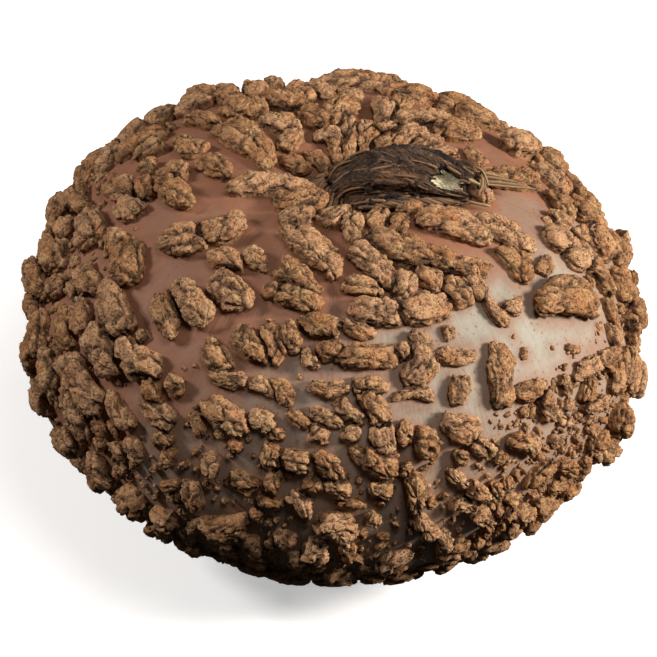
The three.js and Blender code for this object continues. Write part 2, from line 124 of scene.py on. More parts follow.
RIGHT_WARTS = [
    [57, 55, 56, 49, 13], [64, 47, 67, 47, 9], [42, 55, 40, 51, 12], [32, 54, 34, 51, 12],
    [41, 49, 43, 43, 8], [45, 45, 48, 44, 8], [56, 41, 66, 35, 20], [35, 37, 33, 29, 16],
    [38, 28, 42, 27, 11], [43, 24, 44, 19, 12], [55, 24, 60, 23, 12], [62, 23, 67, 20, 12],
    [50, 24, 50, 22, 8], [56, 20, 54, 17, 9], [76, 42, 79, 38, 12], [79, 35, 78, 30, 14],
    [75, 28, 73, 25, 10], [70, 24, 69, 21, 10], [77, 47, 80, 43, 16], [88, 47, 87, 44, 12],
    [86, 42, 88, 40, 12], [54, 14, 58, 12, 11], [100, 40, 96, 38, 15], [106, 33, 103, 31, 14],
    [92, 35, 90, 31, 15], [97, 28, 94, 25, 14], [86, 26, 84, 22, 14], [88, 16, 84, 12, 15],
    [80, 17, 78, 14, 12], [72, 14, 69, 10, 13], [78, 6, 74, 3, 14], [64, 12, 66, 16, 12],
]
LOWER_WARTS = [
    [-24, 26, -20, 24, 16], [-16, 26, -14, 25, 12], [-12, 23, -12, 23, 9], [-9, 28, -7, 27, 9],
    [-5, 29, -1, 28, 9], [-4, 25, -4, 25, 12], [2, 26, 2, 26, 10], [8, 26, 8, 22, 13],
    [6, 19, 9, 17, 17], [7, 12, 9, 11, 11], [3, 21, 4, 19, 9], [12, 16, 12, 16, 11],
    [12, 25, 13, 24, 12], [15, 23, 17, 21, 14], [-12, 19, -12, 17, 12], [-9, 18, -6, 18, 12],
    [-3, 19, -1, 16, 13], [-5, 12, -3, 12, 9], [-1, 13, 1, 11, 11], [-17, 10, -15, 9, 12],
    [-11, 13, -11, 10, 9], [-7, 8, -5, 5, 11], [-13, 6, -10, 5, 8], [1, 8, 4, 7, 8],
    [13, 14, 14, 6, 12], [15, 4, 18, -3, 12], [19, -6, 20, -13, 11], [-19, 18, -19, 18, 8],
    [-45, 15, -41, 13, 14], [-33, 15, -32, 14, 10], [-56, 7, -52, 1, 18], [-39, 8, -37, 6, 10],
    [-31, 11, -31, 8, 9], [-43, 3, -41, 2, 9], [-26, 3, -25, -1, 12], [-23, 13, -23, 10, 11],
    [22, 25, 25, 23, 15], [26, 20, 28, 17, 11], [23, 17, 23, 17, 10], [21, 13, 23, 10, 9],
    [25, 8, 27, 6, 11], [22, 4, 24, 3, 10], [26, 0, 28, -4, 12], [17, 6, 17, 6, 9],
    [34, 17, 37, 14, 13], [29, 7, 29, 4, 9], [33, 0, 33, 0, 9], [46, 2, 47, 0, 11],
    [44, -4, 47, -6, 9], [2, -5, 2, -8, 8], [3, -12, 5, -14, 9],
]

WART_ROWS = CROWN_WARTS + LEFT_WARTS + FRONT_WARTS + RIGHT_WARTS + LOWER_WARTS

# The stem's middle line from the hollow's floor, in millimetres, and its half widths along that line
STEM_LINE = [(1, 0, -5), (4, -1, 7), (17, -4, 14), (35, -7, 16), (50, -11, 15), (60, -14, 15)]
STEM_HALF_WIDTHS = [14, 14, 16.5, 16, 12, 8]
STEM_FLATNESS = 0.72
STEM_RIDGES = 6
STEM_TWIST = 0.8
RIDGE_HEIGHT = 0.12
FOLD_HEIGHT = 0.05


def random_numbers(seed):
    """Numbers from 0 to 1, the same ones each time for a seed."""
    state = seed
    while True:
        state = (state * 1664525 + 1013904223) % 2**32
        yield state / 2**32


def smooth_step(value, low, high):
    share = np.clip((value - low) / (high - low), 0, 1)
    return share * share * (3 - 2 * share)


def mix_values(one, other, share):
    return one + (other - one) * share


def unit(vectors):
    return vectors / np.maximum(np.linalg.norm(vectors, axis=-1, keepdims=True), 1e-12)


def hollow_depth(radius):
    return HOLLOW_DEPTH * np.exp(-((radius / HOLLOW_RADIUS) ** 2))


def skin_points(azimuth, latitude):
    """Points of the bare skin, in millimetres, at azimuths and latitudes in degrees."""
    turn, tilt = np.radians(azimuth), np.radians(latitude)
    across, up = np.cos(tilt), np.sin(tilt)
    size = (np.abs(across) ** BODY_ROUNDNESS + np.abs(up) ** BODY_ROUNDNESS) ** (-1 / BODY_ROUNDNESS)
    radius = BODY_RADIUS * size * across + RIB_DEPTH * np.cos(RIB_COUNT * turn) * across**2
    x, y = radius * np.sin(turn), -radius * np.cos(turn)
    z = BODY_HALF_HEIGHT * size * up - np.where(up > 0, hollow_depth(radius), 0)
    leant = [x * math.cos(LEAN) + z * math.sin(LEAN), y, z * math.cos(LEAN) - x * math.sin(LEAN)]
    return np.stack(np.broadcast_arrays(*leant), axis=-1) + CENTRE


def skin_places(points):
    """The azimuth and latitude, in degrees, that points in millimetres stand over."""
    x, y, z = np.moveaxis(points - CENTRE, -1, 0)
    x, z = x * math.cos(LEAN) - z * math.sin(LEAN), z * math.cos(LEAN) + x * math.sin(LEAN)
    radius = np.hypot(x, y)
    z = z + np.where(z > 0, hollow_depth(radius), 0)
    latitude = np.degrees(np.arctan2(z / BODY_HALF_HEIGHT, radius / BODY_RADIUS))
    return np.degrees(np.arctan2(x, -y)), latitude


def skin_frame(azimuth, latitude):
    """Unit vectors east, north and outward on the skin, and the millimetres in a degree east and north."""
    step = 0.5
    east = skin_points(azimuth + step, latitude) - skin_points(azimuth - step, latitude)
    north = skin_points(azimuth, latitude + step) - skin_points(azimuth, latitude - step)
    outward = unit(np.cross(east, north))
    return unit(east), unit(north), outward, np.linalg.norm(east), np.linalg.norm(north)


class WartField:
    """Warts on the skin: where each one is, which way it lies, and its width and length in millimetres."""

    FIELDS = (
        "azimuth", "latitude", "east_step", "north_step", "along_east", "along_north", "length", "width",
    )

    def __init__(self):
        self.warts = []
        self.table = {}

    def make(self, start_azimuth, start_latitude, end_azimuth, end_latitude, room):
        azimuth = (start_azimuth + end_azimuth) / 2
        latitude = (start_latitude + end_latitude) / 2
        east, north, outward, east_step, north_step = skin_frame(azimuth, latitude)
        along_east = (end_azimuth - start_azimuth) * east_step
        along_north = (end_latitude - start_latitude) * north_step
        length = math.hypot(along_east, along_north)
        if length > 0:
            along_east, along_north = along_east / length, along_north / length
        else:
            along_east, along_north = 1.0, 0.0
        at = skin_points(azimuth, latitude)
        return {
            "azimuth": azimuth, "latitude": latitude, "east_step": east_step, "north_step": north_step,
            "along_east": along_east, "along_north": along_north, "length": length,
            "width": WART_FILL * room, "at": at, "east": east, "north": north, "outward": outward,
        }

    def add(self, wart):
        self.warts.append(wart)
        self.table = {}

    def columns(self):
        if not self.table:
            self.table = {key: np.array([wart[key] for wart in self.warts]) for key in (*self.FIELDS, "at")}
        return self.table

    def reach(self, azimuth, latitude, chosen=slice(None)):
        """Where a place lies on each chosen wart: 0 on its middle line, 1 on its outline."""
        col = self.columns()
        turn = (azimuth - col["azimuth"][chosen] + 180) % 360 - 180
        east = turn * col["east_step"][chosen]
        north = (latitude - col["latitude"][chosen]) * col["north_step"][chosen]
        along = east * col["along_east"][chosen] + north * col["along_north"][chosen]
        across = north * col["along_east"][chosen] - east * col["along_north"][chosen]
        past = np.maximum(0, np.abs(along) - col["length"][chosen] / 2)
        return np.hypot(past, across) / (col["width"][chosen] / 2)

    def has_room(self, wart, clear):
        col = self.columns()
        room = (wart["width"] + wart["length"] + col["width"] + col["length"]) / 2
        near = np.nonzero(np.linalg.norm(col["at"] - wart["at"], axis=1) <= room)[0]
        needed = 1 + clear * wart["width"] / col["width"][near]
        for share in (-0.5, 0, 0.5):
            east = share * wart["length"] * wart["along_east"] / wart["east_step"]
            north = share * wart["length"] * wart["along_north"] / wart["north_step"]
            if np.any(self.reach(wart["azimuth"] + east, wart["latitude"] + north, near) < needed):
                return False
        return True

    def lay(self, azimuth, latitude, width, length, bearing, clear):
        """Adds a wart there if the others leave it room."""
        east_step, north_step = skin_frame(azimuth, latitude)[3:]
        east = length * math.cos(bearing) / 2 / east_step
        north = length * math.sin(bearing) / 2 / north_step
        wart = self.make(azimuth - east, latitude - north, azimuth + east, latitude + north, width)
        if self.has_room(wart, clear):
            self.add(wart)


def strewn_warts():
    """The big warts: those of the rows, and those strewn where the rows leave room."""
    field = WartField()
    for row in WART_ROWS:
        if row[4] >= LEAST_ROOM:
            field.add(field.make(*row))
    draw = random_numbers(STREW_SEED)
    for _ in range(STREW_TRIES):
        azimuth = 360 * next(draw) - 180
        latitude = math.degrees(math.asin(2 * next(draw) - 1))
        widest = mix_values(WIDE_DOWN, WIDE_UP, smooth_step(latitude, -WIDE_FADE, WIDE_FADE))
        width = NARROW + (widest - NARROW) * next(draw)
        length = width * STREW_LONG * next(draw) ** 2
        bearing = math.pi * next(draw)
        seen = abs(azimuth) < FRONT_HALF and latitude > STREW_LOW
        if latitude > STREW_TOP or seen or skin_points(azimuth, latitude)[2] < width / 2:
            continue
        field.lay(azimuth, latitude, width, length, bearing, STREW_CLEAR)
    return field


# Small warts between the big ones, widths in millimetres
CRUMB_SEED = 417
CRUMB_TRIES = 17000
CRUMB_WIDTHS = (2.1, 11.0)
CRUMB_RARITY = 1.9
CRUMB_CLEAR = 0.5
CRUMB_LONG = 1.1

# Where small warts grow: the degrees over which each part of the skin sets in, and how densely they stand
FRONT_MIDDLE = 20
FRONT_FADE = (-100, -60)
LOWER_FADE = (-27, -9)
LEFT_FADE = (50, 68)
RIGHT_FADE = (70, 88)
FLANK_FADE = (-52, -36)
BARE_FADE = (-58, -40)
FLANK_SHARE = 0.8
LOWER_SHARE = 0.5
BARE_SHARE = 0.05

# The smallest grains of cork, low on the right
SPECK_TRIES = 1500
SPECK_AZIMUTHS = (30, 98)
SPECK_LATITUDES = (-18, 28)
SPECK_WIDTHS = (1.2, 3.6)
SPECK_CLEAR = 0.1

# Low warts in the hollow, behind the stem, in rows like those above
HOLLOW_WARTS = [
    [-140, 80, -142, 83, 10], [-166, 78, -168, 82, 11], [174, 77, 176, 81, 11], [160, 75, 163, 78, 12],
    [146, 74, 150, 77, 12], [134, 70, 138, 74, 13], [122, 69, 126, 72, 11], [113, 68, 118, 71, 9],
]


def crumb_share(azimuth, latitude):
    """How much of the skin small warts grow over, from 0 to 1."""
    front = smooth_step(-abs(azimuth - FRONT_MIDDLE), *FRONT_FADE)
    lower = smooth_step(-latitude, *LOWER_FADE)
    left = smooth_step(-azimuth, *LEFT_FADE)
    right = smooth_step(azimuth, *RIGHT_FADE)
    flanks = (left + right) * smooth_step(-latitude, *FLANK_FADE)
    bare = BARE_SHARE * smooth_step(-latitude, *BARE_FADE)
    return max(front * lower, FLANK_SHARE * flanks, LOWER_SHARE * lower, bare)


def add_crumbs(field):
    """Adds the small warts: rows, then strewn ones, then the smallest grains."""
    for row in WART_ROWS + HOLLOW_WARTS:
        if row[4] < LEAST_ROOM or row in HOLLOW_WARTS:
            field.add(field.make(*row))
    draw = random_numbers(CRUMB_SEED)
    for _ in range(CRUMB_TRIES):
        azimuth = 360 * next(draw) - 180
        latitude = math.degrees(math.asin(2 * next(draw) - 1))
        width = mix_values(*CRUMB_WIDTHS, next(draw) ** CRUMB_RARITY)
        length = width * CRUMB_LONG * next(draw) ** 2
        bearing = math.pi * next(draw)
        wanted = next(draw) < crumb_share(azimuth, latitude)
        if wanted and skin_points(azimuth, latitude)[2] > width / 2:
            field.lay(azimuth, latitude, width, length, bearing, CRUMB_CLEAR)
    for _ in range(SPECK_TRIES):
        azimuth = mix_values(*SPECK_AZIMUTHS, next(draw))
        latitude = mix_values(*SPECK_LATITUDES, next(draw))
        width = mix_values(*SPECK_WIDTHS, next(draw) ** 2)
        length = width * CRUMB_LONG * next(draw)
        field.lay(azimuth, latitude, width, length, math.pi * next(draw), SPECK_CLEAR)


def hashed(x, y, z, salt):
    """A number from 0 to 1 for each cell of a grid of whole numbers."""
    mixed = x * 374761393 + y * 668265263 + z * 3266489917 + salt * 2246822519
    mixed = (mixed ^ (mixed >> 13)) & 0xFFFFFFFF
    mixed = (mixed * 1274126177) & 0xFFFFFFFF
    return ((mixed ^ (mixed >> 16)) & 0xFFFFFF) / 0xFFFFFF


def soft_noise(points, salt=0):
    """Smooth noise from -1 to 1 with waves about two units long."""
    floor = np.floor(points).astype(np.int64)
    part = points - floor
    part = part * part * (3 - 2 * part)
    total = np.zeros(len(points))
    for corner in np.ndindex(2, 2, 2):
        weight = np.prod(np.where(corner, part, 1 - part), axis=1)
        total += weight * hashed(*(floor + corner).T, salt)
    return 2 * total - 1


def layered_noise(points, octaves=3, salt=0):
    total = np.zeros(len(points))
    for octave in range(octaves):
        total += soft_noise(points * 2**octave, salt + octave) / 2**octave
    return total


def cell_distances(points, salt=0):
    """The distances to the nearest and to the second nearest of points strewn one to a unit cell."""
    floor = np.floor(points).astype(np.int64)
    part = points - floor
    nearest = np.full(len(points), 9.0)
    second = nearest.copy()
    for corner in np.ndindex(3, 3, 3):
        offset = np.array(corner) - 1
        cell = (floor + offset).T
        seed = np.stack([hashed(*cell, salt + 7 * axis) for axis in range(3)], axis=1)
        distance = np.linalg.norm(offset + 0.15 + 0.7 * seed - part, axis=1)
        second = np.minimum(second, np.maximum(nearest, distance))
        nearest = np.minimum(nearest, distance)
    return nearest, second


def corner_normals(points, triangles):
    """The outward direction at each point of a closed triangle mesh."""
    a, b, c = (points[triangles[:, i]] for i in range(3))
    face = np.cross(b - a, c - a)
    total = np.zeros_like(points)
    for i in range(3):
        for axis in range(3):
            total[:, axis] += np.bincount(triangles[:, i], face[:, axis], len(points))
    return unit(total)


def ring_faces(rings, around, first=0):
    """Triangles between rings of points, each ring all the way around."""
    ring, spot = np.meshgrid(np.arange(rings - 1), np.arange(around), indexing="ij")
    near = first + ring * around + spot
    next_to = first + ring * around + (spot + 1) % around
    lower = np.stack([near, near + around, next_to], axis=-1)
    upper = np.stack([next_to, near + around, next_to + around], axis=-1)
    return np.concatenate([lower.reshape(-1, 3), upper.reshape(-1, 3)])


def fan_faces(centre, start, around, reverse=False):
    spot = start + np.arange(around)
    following = start + (np.arange(around) + 1) % around
    faces = np.stack([np.full(around, centre), spot, following], axis=1)
    return faces[:, ::-1] if reverse else faces


def new_piece(name, points, triangles, attributes, material):
    """A smooth mesh object from points in millimetres, with its finish and its values for each point."""
    mesh = bpy.data.meshes.new(name)
    mesh.vertices.add(len(points))
    mesh.vertices.foreach_set("co", np.ascontiguousarray(points * MM, np.float32).ravel())
    mesh.loops.add(triangles.size)
    mesh.loops.foreach_set("vertex_index", triangles.astype(np.int32).ravel())
    mesh.polygons.add(len(triangles))
    mesh.polygons.foreach_set("loop_start", np.arange(0, triangles.size, 3, dtype=np.int32))
    mesh.update(calc_edges=True)
    mesh.shade_smooth()
    for key, values in attributes.items():
        kind = "FLOAT" if values.ndim == 1 else "FLOAT_VECTOR"
        layer = mesh.attributes.new(key, kind, "POINT")
        field = "value" if values.ndim == 1 else "vector"
        layer.data.foreach_set(field, np.ascontiguousarray(values, np.float32).ravel())
    mesh.materials.append(material)
    if mesh.validate():
        raise RuntimeError(f"{name} has broken faces")
    piece = bpy.data.objects.new(name, mesh)
    bpy.context.scene.collection.objects.link(piece)
    return piece


def stand_for(piece, slot, *nodes):
    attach(piece, "root")
    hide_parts(*nodes)


# Warts: their outline, profile and wrinkles. Pairs are for smooth and for knotty warts, or a least and a most
SHORTENED = 0.93
KNOTTY_WIDTHS = (1.08, 0.94)
KNOTTY_HEIGHTS = (1, 1.3)
HEIGHT_SPREAD = (0.95, 1.28)
LOW_HEIGHTS = (1, 0.64)
LOW_FADE = (4, 26)
OUTLINE_WAVES = ((2, 0.06), (3, 0.085), (5, 0.05))
BOW = 0.5
SLANT = 0.3
TIP = 0.35
OUTLINE_POWER = 2.5
ACROSS_POWER = 2.7
UP_POWER = 2.3
WAIST = 0.36
UNDERCUT = 0.26
ROOT_DEPTH = 1.6
PLATE_STRETCH = 0.62


def wart_shell(wart, knotty, step, draw):
    """One wart's points along, across and above the skin, its triangles and how far down each point is."""
    width = wart["width"] * mix_values(*KNOTTY_WIDTHS, knotty)
    length = wart["length"] * SHORTENED
    height = (WART_FOOT + WART_RISE * width) * mix_values(*HEIGHT_SPREAD, next(draw))
    lowness = smooth_step(-wart["latitude"], *LOW_FADE)
    height *= mix_values(*KNOTTY_HEIGHTS, knotty) * mix_values(*LOW_HEIGHTS, lowness)
    around = max(9, round((math.pi * width + 2 * length) * 0.95 / step))
    rings_up = max(3, round((width / 2 + 0.8 * height) / step))
    rings_down = max(2, round((WAIST * height + ROOT_DEPTH) / step))
    angle = 2 * np.pi * np.arange(around) / around
    cosine, sine = np.cos(angle), np.sin(angle)
    wobble = np.ones(around)
    for waves, size in OUTLINE_WAVES:
        wobble += size * np.cos(waves * angle + 2 * np.pi * next(draw))
    along = np.sign(cosine) * np.abs(cosine) ** (2 / OUTLINE_POWER) * (length + width) / 2 * wobble
    across = np.sign(sine) * np.abs(sine) ** (2 / OUTLINE_POWER) * width / 2 * wobble
    bow = (next(draw) - 0.5) * BOW * length
    slant = [(next(draw) - 0.5) * SLANT * width for _ in range(2)]
    tip = [(next(draw) - 0.5) * TIP for _ in range(2)]
    turn = np.pi / 2 * np.arange(1, rings_up + 1) / rings_up
    spread = np.sin(turn) ** (2 / ACROSS_POWER)
    rise = WAIST + (1 - WAIST) * np.abs(np.cos(turn)) ** (2 / UP_POWER)
    down = np.arange(1, rings_down + 1) / rings_down
    spread = np.concatenate([spread, 1 - UNDERCUT * down**0.8])
    level = np.concatenate([rise * height, mix_values(WAIST * height, -ROOT_DEPTH, down)])
    x = np.concatenate([[0], np.outer(spread, along).ravel(), [0]])
    y = np.concatenate([[0], np.outer(spread, across).ravel(), [0]])
    z = np.concatenate([[height], np.repeat(level, around), [-ROOT_DEPTH]])
    raised = np.clip(z / height, 0, 1)
    z = z * (1 + raised * (tip[0] * x / (length + width) + tip[1] * y / width) * 2)
    y = y + bow * (1 - (2 * x / (length + width)) ** 2) + slant[1] * raised**2
    x = x + slant[0] * raised**2
    rings = rings_up + rings_down
    last = 1 + rings * around
    faces = [
        fan_faces(0, 1, around),
        ring_faces(rings, around, 1),
        fan_faces(last, last - around, around, reverse=True),
    ]
    return np.stack([x, y, z], axis=1), np.concatenate(faces), raised


def seam_near(number, field, azimuth, latitude):
    """1 on a wart's points where it has grown against a neighbour, and 0 away from there."""
    col = field.columns()
    size = col["width"] + col["length"]
    apart = np.linalg.norm(col["at"] - col["at"][number], axis=1)
    near = np.nonzero(apart < (size + size[number]) / 2 + 2)[0]
    own = field.reach(azimuth, latitude, number)
    seam = np.zeros(len(own))
    for other in near[near != number]:
        theirs = field.reach(azimuth, latitude, other)
        meets = 1 - smooth_step(np.minimum(own, theirs), 1.0, 1.25)
        seam = np.maximum(seam, (1 - smooth_step(theirs - own, -0.25, 0.3)) * meets)
    return seam


# Relief of a wart, in millimetres or as shares of its width. Pairs are for smooth and for knotty warts,
# or the least and the most
LOBE_SHARES = (0.78, 0.56)
LOBE_SIZES = (3.2, 11.0)
LOBE_DEPTHS = (0.1, 0.15)
DEEPEST_CREASE = 1.7
CREASE_WIDTH = 0.2
PLATE_SHARE = 0.24
PLATE_SIZES = (1.8, 3.3)
GROOVE_WIDTH = 0.3
WRINKLE_SHARE = 0.062
DEEPEST_WRINKLE = 0.8
SEAM_SHARE = 0.12
DEEPEST_SEAM = 1.8

# Where warts are meshed more coarsely, in degrees, and the width under which they are meshed more finely
BACK_FADE = (95, 125)
BACK_TOP_FADE = (-60, -45)
UNDER_FADE = (0, 20)
SMALL_WIDTH = 9
SMALL_STEP = 0.85

# The degrees over which warts turn knotty: down from the shoulder, away from the left and again to the base
KNOTTY_FADE = (-30, -10)
KNOTTY_LEFT_FADE = (-65, -30)
KNOTTY_BASE_FADE = (8, 28)


def mesh_step(wart, look):
    """Millimetres between the points of a wart's mesh: finer on small ones, coarser at the back and base."""
    turned = abs((wart["azimuth"] + 180) % 360 - 180)
    back = smooth_step(turned, *BACK_FADE) * smooth_step(-wart["latitude"], *BACK_TOP_FADE)
    under = smooth_step(-wart["latitude"], *UNDER_FADE)
    step = mix_values(look.mesh_step, look.back_step, max(back, under)) / MM
    return step * (SMALL_STEP if wart["width"] < SMALL_WIDTH else 1)


def wart_mesh(numbers, field, look, draw):
    """A group of warts, by their numbers, as points on the fruit, triangles and values for each point."""
    parts = []
    first = 0
    for number in numbers:
        wart = field.warts[number]
        step = mesh_step(wart, look)
        knotty = smooth_step(wart["azimuth"], *KNOTTY_LEFT_FADE)
        knotty *= smooth_step(-wart["latitude"], *KNOTTY_FADE)
        knotty *= 1 - smooth_step(-wart["latitude"], *KNOTTY_BASE_FADE)
        local, faces, raised = wart_shell(wart, knotty, step, draw)
        along = wart["east"] * wart["along_east"] + wart["north"] * wart["along_north"]
        across = wart["north"] * wart["along_east"] - wart["east"] * wart["along_north"]
        flat = wart["at"] + np.outer(local[:, 0], along) + np.outer(local[:, 1], across)
        count = len(local)
        places = skin_places(flat)
        parts.append((
            skin_points(*places) + np.outer(local[:, 2], wart["outward"]), faces + first, raised,
            np.full(count, wart["width"]), np.full(count, next(draw)), np.full(count, knotty),
            seam_near(number, field, *places), local * (PLATE_STRETCH, 1, 1) + 97 * number,
        ))
        first += count
    points, faces, raised, width, tone, knotty, seam, own = (np.concatenate(rows) for rows in zip(*parts))
    outward = corner_normals(points, faces)
    strength = smooth_step(raised, 0, 0.25)

    # Big lobes, and finer plates with grooves between them
    tilted = np.stack([soft_noise(points / 3.4, salt) for salt in (11, 12, 13)], axis=1)
    lobe = np.clip(width * mix_values(*LOBE_SHARES, knotty), *LOBE_SIZES)[:, None]
    nearest, second = cell_distances((own + 1.5 * tilted) / lobe, 3)
    crease = 1 - smooth_step(second - nearest, 0, CREASE_WIDTH)
    plate = np.clip(width * PLATE_SHARE, *PLATE_SIZES)[:, None]
    near_plate, second_plate = cell_distances((own + 1.3 * tilted) / plate, 23)
    groove = 1 - smooth_step(second_plate - near_plate, 0, GROOVE_WIDTH)
    groove *= smooth_step(layered_noise(points / 4.2, 2, 37), -0.6, 0.2)
    fold = 1 - np.abs(layered_noise((points + 0.8 * tilted) / (2.6, 2.6, 3.4), 2, 31))
    fold = smooth_step(fold, 0.72, 1)
    lumps = layered_noise(points / 5.2, 2, 41)
    grit = soft_noise(points / 0.9, 47)
    depth = np.minimum(width * mix_values(*LOBE_DEPTHS, knotty), DEEPEST_CREASE) * look.lobe_depth
    fine_depth = np.minimum(width * WRINKLE_SHARE, DEEPEST_WRINKLE) * look.wrinkle_depth
    shift = -depth * crease - fine_depth * (groove + 0.75 * fold - 0.35 * grit)
    shift += 0.65 * np.minimum(width / 14, 1) * lumps - np.minimum(width * SEAM_SHARE, DEEPEST_SEAM) * seam
    points = points + outward * (shift * strength)[:, None]
    points[:, 2] = np.maximum(points[:, 2], 0.02)
    # This mask paints shade into the cork's colour: darkest in the lobes' creases and the seams where warts
    # meet, fainter in the grooves and folds.
    crack = np.clip(0.72 * crease**2 + 0.3 * groove**1.5 + 0.2 * fold + 0.7 * seam**2, 0, 1) * strength
    return points, faces, {"crack": crack, "raised": raised, "tone": tone}


# Groups of warts: those over a latitude are the crown's, the others go by the azimuth their group starts at
CROWN_LATITUDE = 50
SECTORS = [
    ("front_right", 0), ("right", 60), ("back_right", 120),
    ("back_left", 180), ("left", 240), ("front_left", 300),
]
WART_SEED = 900


def sector_of(wart):
    if wart["latitude"] > CROWN_LATITUDE:
        return "crown"
    turn = wart["azimuth"] % 360
    return [name for name, start in SECTORS if turn >= start][-1]


def halo_near_warts(points, field, width):
    """1 on skin at a wart's foot, falling to 0 at a width in millimetres from it."""
    azimuth, latitude = skin_places(points)
    col = field.columns()
    gap = np.full(len(points), width)
    for number, at in enumerate(col["at"]):
        half = col["width"][number] / 2
        far = half + col["length"][number] / 2 + width
        near = np.nonzero(np.abs(points - at).max(axis=1) < far)[0]
        distance = (field.reach(azimuth[near], latitude[near], number) - 1) * half
        gap[near] = np.minimum(gap[near], np.maximum(distance, 0))
    return 1 - gap / width


# Where the skin turns cream: how far towards that side it sets in and is full, and how its edge wanders
CREAM_FADE = (-0.14, 0.28)
CREAM_WANDER = 0.12


def rind_mesh(field, look):
    """The skin as a closed grid of meridians and parallels, with its values for each point."""
    columns, rows = look.columns, look.rows
    latitude = np.linspace(90, -90, rows + 1)[1:-1]
    azimuth = np.arange(columns) * 360 / columns
    grid_latitude, grid_azimuth = np.meshgrid(latitude, azimuth, indexing="ij")
    places = [
        np.concatenate([[0], grid_azimuth.ravel(), [0]]),
        np.concatenate([[90], grid_latitude.ravel(), [-90]]),
    ]
    points = skin_points(*places)
    last = len(points) - 1
    faces = np.concatenate([
        fan_faces(0, 1, columns),
        ring_faces(rows - 1, columns, 1),
        fan_faces(last, last - columns, columns, reverse=True),
    ])
    halo = halo_near_warts(points, field, look.halo_width / MM)
    outward = corner_normals(points, faces)
    swell = look.swell / MM * (smooth_step(halo, 0.2, 1) + 0.8 * layered_noise(points / 26, 2, 51))
    points = points + outward * swell[:, None]
    points[:, 2] = np.maximum(points[:, 2], 0)
    turn = np.radians(places[0])
    meridian = np.stack([np.sin(turn), np.cos(turn), places[1] / 90], axis=1)
    side = unit(points - CENTRE) @ unit(np.array(look.cream_side))
    cream = smooth_step(side + CREAM_WANDER * layered_noise(points / 34, 3, 61), *CREAM_FADE)
    return points, faces, {"halo": halo, "meridian": meridian, "cream": cream}


def curve_points(knots, count):
    """Points evenly spaced along the smooth curve that passes through the knots."""
    knots = np.array(knots, float)
    padded = np.concatenate([[2 * knots[0] - knots[1]], knots, [2 * knots[-1] - knots[-2]]])
    fine = []
    for p0, p1, p2, p3 in zip(padded, padded[1:], padded[2:], padded[3:]):
        gaps = [max(np.linalg.norm(b - a) ** 0.5, 1e-4) for a, b in ((p0, p1), (p1, p2), (p2, p3))]
        start = ((p1 - p0) / gaps[0] - (p2 - p0) / (gaps[0] + gaps[1]) + (p2 - p1) / gaps[1]) * gaps[1]
        end = ((p2 - p1) / gaps[1] - (p3 - p1) / (gaps[1] + gaps[2]) + (p3 - p2) / gaps[2]) * gaps[1]
        t = np.linspace(0, 1, 60, endpoint=False)[:, None]
        fine.append((2 * t**3 - 3 * t**2 + 1) * p1 + (t**3 - 2 * t**2 + t) * start
                    + (3 * t**2 - 2 * t**3) * p2 + (t**3 - t**2) * end)
    fine = np.concatenate([*fine, knots[-1:]])
    walked = np.concatenate([[0], np.cumsum(np.linalg.norm(np.diff(fine, axis=0), axis=1))])
    even = np.linspace(0, walked[-1], count)
    return np.stack([np.interp(even, walked, fine[:, axis]) for axis in range(3)], axis=1)


def curve_frames(line, reference=(0, 1, 0)):
    """The directions ahead, to the side and up at each point of a line."""
    ahead = unit(np.gradient(line, axis=0))
    side = unit(np.cross(unit(np.cross(reference, ahead)), ahead))
    return ahead, side, np.cross(side, ahead)


def swept(line, radii, around, flatness=1.0, reference=(0, 1, 0)):
    """A closed tube along a line: radii hold a radius for each point of the line and each side."""
    _, side, up = curve_frames(line, reference)
    angle = 2 * np.pi * np.arange(around) / around
    reach = np.broadcast_to(radii, (len(line), around))[..., None]
    spokes = side[:, None] * np.cos(angle)[:, None] + up[:, None] * (flatness * np.sin(angle))[:, None]
    rings = (line[:, None] + spokes * reach).reshape(-1, 3)
    points = np.concatenate([line[:1], rings, line[-1:]])
    last = len(points) - 1
    faces = np.concatenate([
        fan_faces(0, 1, around),
        ring_faces(len(line), around, 1),
        fan_faces(last, last - around, around, reverse=True),
    ])
    return points, faces[:, ::-1]


STEM_FOOT = skin_points(0.0, 90.0)
FIBRE_SEED = 88
FOOT_RIDGES = 26
FOOT_START = -115
FOOT_SPAN = 150
BRAID_FIBRES = 5
BRAID_TURNS = 26


def stem_surface(share, angle, share_of_radius=1.0):
    """Points of the stem's bark at shares of its length and angles round it."""
    line = curve_points(STEM_LINE, 400) + STEM_FOOT
    _, side, up = curve_frames(line)
    place = np.clip(share, 0, 1) * (len(line) - 1)
    at = [np.stack([np.interp(place, np.arange(len(line)), rows[:, axis]) for axis in range(3)], -1)
          for rows in (line, side, up)]
    turned = angle + STEM_TWIST * share
    ridge = RIDGE_HEIGHT * np.cos(STEM_RIDGES * turned)
    fold = FOLD_HEIGHT * np.cos(2 * turned - 7 * share)
    stops = np.linspace(0, 1, len(STEM_HALF_WIDTHS))
    radius = np.interp(share, stops, STEM_HALF_WIDTHS) * (1 + ridge + fold)
    spoke = at[1] * np.cos(angle)[..., None] + at[2] * (STEM_FLATNESS * np.sin(angle))[..., None]
    return at[0] + spoke * radius[..., None] * share_of_radius


# The stem's bark, and the torn place on it: its middle and half length as shares of the stem, the side
# that it faces and its half width in radians, and its depth as a share of the radius
BARK_AROUND = 210
BARK_RINGS = 160
COARSE_GRAIN = (5, 5, 12)
FINE_GRAIN = (11, 11, 30)
HAIR_GRAIN = (26, 26, 64)
SCOOP_MIDDLE = 0.83
SCOOP_LONG = 0.135
SCOOP_SIDE = 0.75
SCOOP_HALF = 0.95
SCOOP_DEPTH = 0.5


